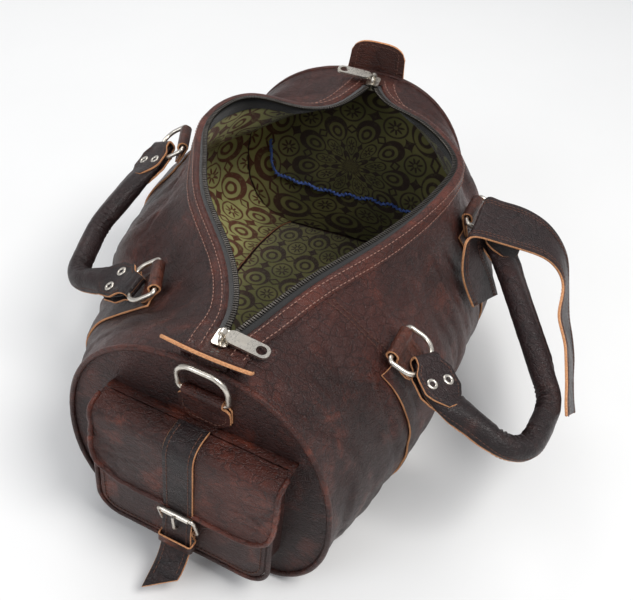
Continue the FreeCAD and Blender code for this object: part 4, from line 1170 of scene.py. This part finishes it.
CLOSURE_MID = 5.0
strap_line = flap_path(80, 2.3)[:, [0, 2]]
tail_line = np.array([(34.6, 74), (35.4, 66), (36.9, 56), (37.0, 46), (38.2, 36), (42.5, 27),
                      (50, 19.5), (61, 13.5)], float)
closure_line = spline(np.concatenate([strap_line[::6], tail_line]), 90)
half = np.interp(np.arange(90), [0, 70, 89], [12.5, 12.5, 11.4])
closure_grid = front_strip(closure_line, half, CLOSURE_MID, 11)
slant = np.linspace(-1, 1, 11)[None, :, None] * smooth(80, 89, np.arange(90))[:, None, None]
closure_grid = closure_grid - slant * 8.0 * unit(closure_grid[-1, 5] - closure_grid[-3, 5])
closure = sheet("closure_strap_leather", closure_grid, 2.0, [GRIP, TAN, FLESH])
finish_piece(closure, "pocket_flap", "body_leather", "closure_strap", "closure_strap_tail")
flap_seams = leather_edge_rows(closure_grid[2:-4], 3.4, 1.1)
sew("flap_stitching", flap_seams, "pocket_flap")

keeper_path = rounded([(36.4, 0, -14.5), (41.0, 0, -14.5), (41.0, 0, 14.5), (31.9, 0, 14.5),
                       (31.9, 0, -14.5), (36.4, 0, -14.5)], [1.8, 1.8, 1.8, 1.8], 1.5)
keeper_rows = [FRONT.at(np.stack([keeper_path[:, 0], keeper_path[:, 2] + CLOSURE_MID,
                                  np.full(len(keeper_path), up)], 1))
               for up in np.linspace(36.8, 44.2, 7)]
keeper = sheet("strap_keeper_leather", np.array(keeper_rows), 1.4, [STRAP, TAN], flip=True)
finish_piece(keeper, "body", "body_leather", "strap_keeper")
for name, offset, half in (("left", -7.2, 4.6), ("right", 7.2, 4.6)):
    path = rounded([(29.8, 28), (30.0, 46), (28.9, 53), (31.4, 55.6), (34.8, 52.4), (32.0, 47),
                    (31.6, 36)], [8, 2.4, 2.8, 2.8, 6], 1.2)
    grid = front_strip(path, half, CLOSURE_MID + offset, 7)
    piece = sheet("buckle_loop_" + name, grid, 1.2, [STRAP, TAN])
    finish_piece(piece, "body", "body_leather", "buckle_chape")

# ---- end ring's loop and the zip's two end tabs --------------------------------------------
END_RING_MID = 9.0
ring_path = rounded([(3.4, 149.8), (3.6, 168), (3.3, 178), (7.4, 182.4), (11.6, 178),
                     (7.0, 172.6), (5.6, 164), (5.6, 148.6)], [10, 4, 4.2, 4.2, 5, 8], 1.2)
half = np.interp(ring_path[:, 1], [148.6, 152, 158, 170, 174, 183], [10, 15, 21.5, 21, 16.8, 16.4])
ring_grid = front_strip(ring_path, half, END_RING_MID, 13)
ring_loop = sheet("end_ring_loop_leather", ring_grid, 1.8, [SOFT, TAN])
finish_piece(ring_loop, "body", "body_leather", "end_ring_chape")
outline = rounded([(6.6, 26.5, 168), (6.6, 27.0, 158.5), (6.6, 20, 152.2), (6.6, -2, 152.2),
                   (6.6, -9.0, 158.5), (6.6, -8.5, 168)], [6, 6, 6, 6], 1.5)
pocket_seams.append((FRONT.at(outline), np.tile(FRONT.out, (len(outline), 1))))


def curved_tab(corners, curl, round_top, rows=22, columns=27):
    """Stiff tab from its root edge to its free edge, with rounded free corners."""
    a, b, c, d = [np.array(p, float) for p in corners]
    square = unit(np.cross(b - a, d - a))
    grid = []
    for t in np.linspace(0, 1, rows):
        line = []
        for s in np.linspace(0, 1, columns):
            side_share = abs(2 * s - 1)
            reach_here = 1 - round_top * (1 - math.sqrt(1 - side_share ** 3 * 0.999))
            u = t * reach_here
            p = (a * (1 - s) + b * s) * (1 - u) + (d * (1 - s) + c * s) * u
            line.append(p + square * (curl * (4 * s * (1 - s)) * u))
        grid.append(line)
    return np.array(grid)


front_tab = curved_tab(((192.3, -27, 206), (199.8, 42, 205.4), (208.5, 43, 214.5),
                        (201, -26, 217.5)), 1.2, 0.28)
tab = sheet("zip_end_tab_front", front_tab, 2.6, [STRAP, TAN])
finish_piece(tab, "body", "body_leather", "zip_tab_front")
rear_tab = curved_tab(((-213, -17, 203), (-213, 41, 203), (-219.5, 38, 242),
                       (-219.5, -14, 242)), 1.5, 0.34)
tab = sheet("zip_end_tab_rear", rear_tab, 2.8, [STRAP, TAN])
finish_piece(tab, "body", "body_leather", "zip_tab_rear")
normal = grid_normals(rear_tab)
inside = np.concatenate([rear_tab[3:19, 3], rear_tab[19, 4:23], rear_tab[3:19, 23][::-1]])
inside_n = np.concatenate([normal[3:19, 3], normal[19, 4:23], normal[3:19, 23][::-1]])
for sign in (1, -1):
    pocket_seams.append((inside + inside_n * 1.5 * sign, inside_n * sign))
sew("end_stitching", pocket_seams)

for name, rows, high in (("front", np.linspace(ROWS - 22, ROWS - 1.5, 14), 0.4),
                         ("rear", np.linspace(0.5, 13, 14), 0.2)):
    edges = [side.from_lip(rows, vec(5.0, 1.0), vec(0.9, 0.6))[0] for _, side in SIDES]
    middle = (edges[0][:, 1:] + edges[1][:, 1:]) / 2 + vec(0, 0, high)
    across = [edges[1][:, :1], edges[1][:, 1:], middle, edges[0][:, 1:], edges[0][:, :1]]
    patch_grid = np.concatenate(across, 1)
    patch = sheet("zip_end_patch_" + name, patch_grid, 1.2, [STRAP])
    finish_piece(patch, "body", "body_leather")

# ---- blue seam thread inside, and the metal fittings ---------------------------------------
blue_line = spline([(-202.5, -91, 112), (-202.6, -90, 92), (-202.6, -84, 72), (-202.6, -60, 66),
                    (-202.6, -20, 63), (-202.6, 30, 66), (-202.6, 88, 60)], 150)
wander = np.arange(150)
blue_line[:, 2] += 1.5 * np.sin(wander * 1.9) + 1.2 * np.sin(wander * 0.37)
blue_line[:, 1] += 1.2 * np.sin(wander * 2.3)
blue = tube("overlock_seam", blue_line, 1.4, [BLUE], 7)
finish_piece(blue, "body", "lining_cotton")

for node, obj in frame["nodes"].items():
    if obj.hide_render:
        continue
    obj.data.materials.clear()
    obj.data.materials.append(NICKEL)
    if node.startswith(("slider", "puller")):
        edge = obj.modifiers.new("soft edges", "BEVEL")
        edge.width, edge.segments, edge.limit_method = 0.00035, 2, "ANGLE"


# ---- camera, floor and light ------------------------------------------------------------
camera_data = bpy.data.cameras.new("camera")
camera_data.lens, camera_data.sensor_width = 51.2, 36.0
camera = bpy.data.objects.new("camera", camera_data)
bpy.context.scene.collection.objects.link(camera)
ahead, side_on = Vector((-0.7053, -0.1814, -0.6854)), Vector((-0.3117, 0.9476, 0.0700))
above = side_on.cross(ahead)
camera.matrix_world = Matrix((
    (side_on.x, above.x, -ahead.x, 0.5816), (side_on.y, above.y, -ahead.y, 0.1787),
    (side_on.z, above.z, -ahead.z, 0.6585), (0, 0, 0, 1)))
bpy.context.scene.camera = camera


def area_light(name, place, aim, size, power, colour=(1, 1, 1)):
    data = bpy.data.lights.new(name, "AREA")
    data.shape, data.size, data.energy, data.color = "DISK", size, power, colour
    lamp = bpy.data.objects.new(name, data)
    lamp.location = place
    lamp.rotation_mode = "QUATERNION"
    lamp.rotation_quaternion = (Vector(aim) - Vector(place)).to_track_quat("-Z", "Y")
    bpy.context.scene.collection.objects.link(lamp)


area_light("key", (0.35, 0.95, 1.7), (0, 0, 0.1), 0.9, 24, (1.0, 0.985, 0.96))
area_light("fill", (1.3, -0.9, 1.1), (0, 0, 0.1), 1.0, 8, (0.95, 0.97, 1.0))
area_light("back", (-0.9, -0.8, 1.6), (0, 0, 0.1), 1.1, 11, (1.0, 0.99, 0.97))
world = bpy.data.worlds.new("studio")
world.use_nodes = True
world.node_tree.nodes["Background"].inputs[0].default_value = (0.9, 0.92, 0.95, 1)
world.node_tree.nodes["Background"].inputs[1].default_value = 0.55
bpy.context.scene.world = world
bpy.context.scene.view_settings.view_transform = "Standard"

paper = Nodes("floor_paper")
paper_where = paper.place()
paper.set(colour=paper.mix(paper.noise(paper_where, 6.0), (0.79, 0.79, 0.79, 1),
                           (0.82, 0.82, 0.82, 1)), rough=0.9)
reach = 6000.0
floor = make_mesh("floor", [(-reach, -reach, -0.5), (reach, -reach, -0.5), (reach, reach, -0.5),
                            (-reach, reach, -0.5)], [(0, 1, 2, 3)], [paper.material])
floor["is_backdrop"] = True

low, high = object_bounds()
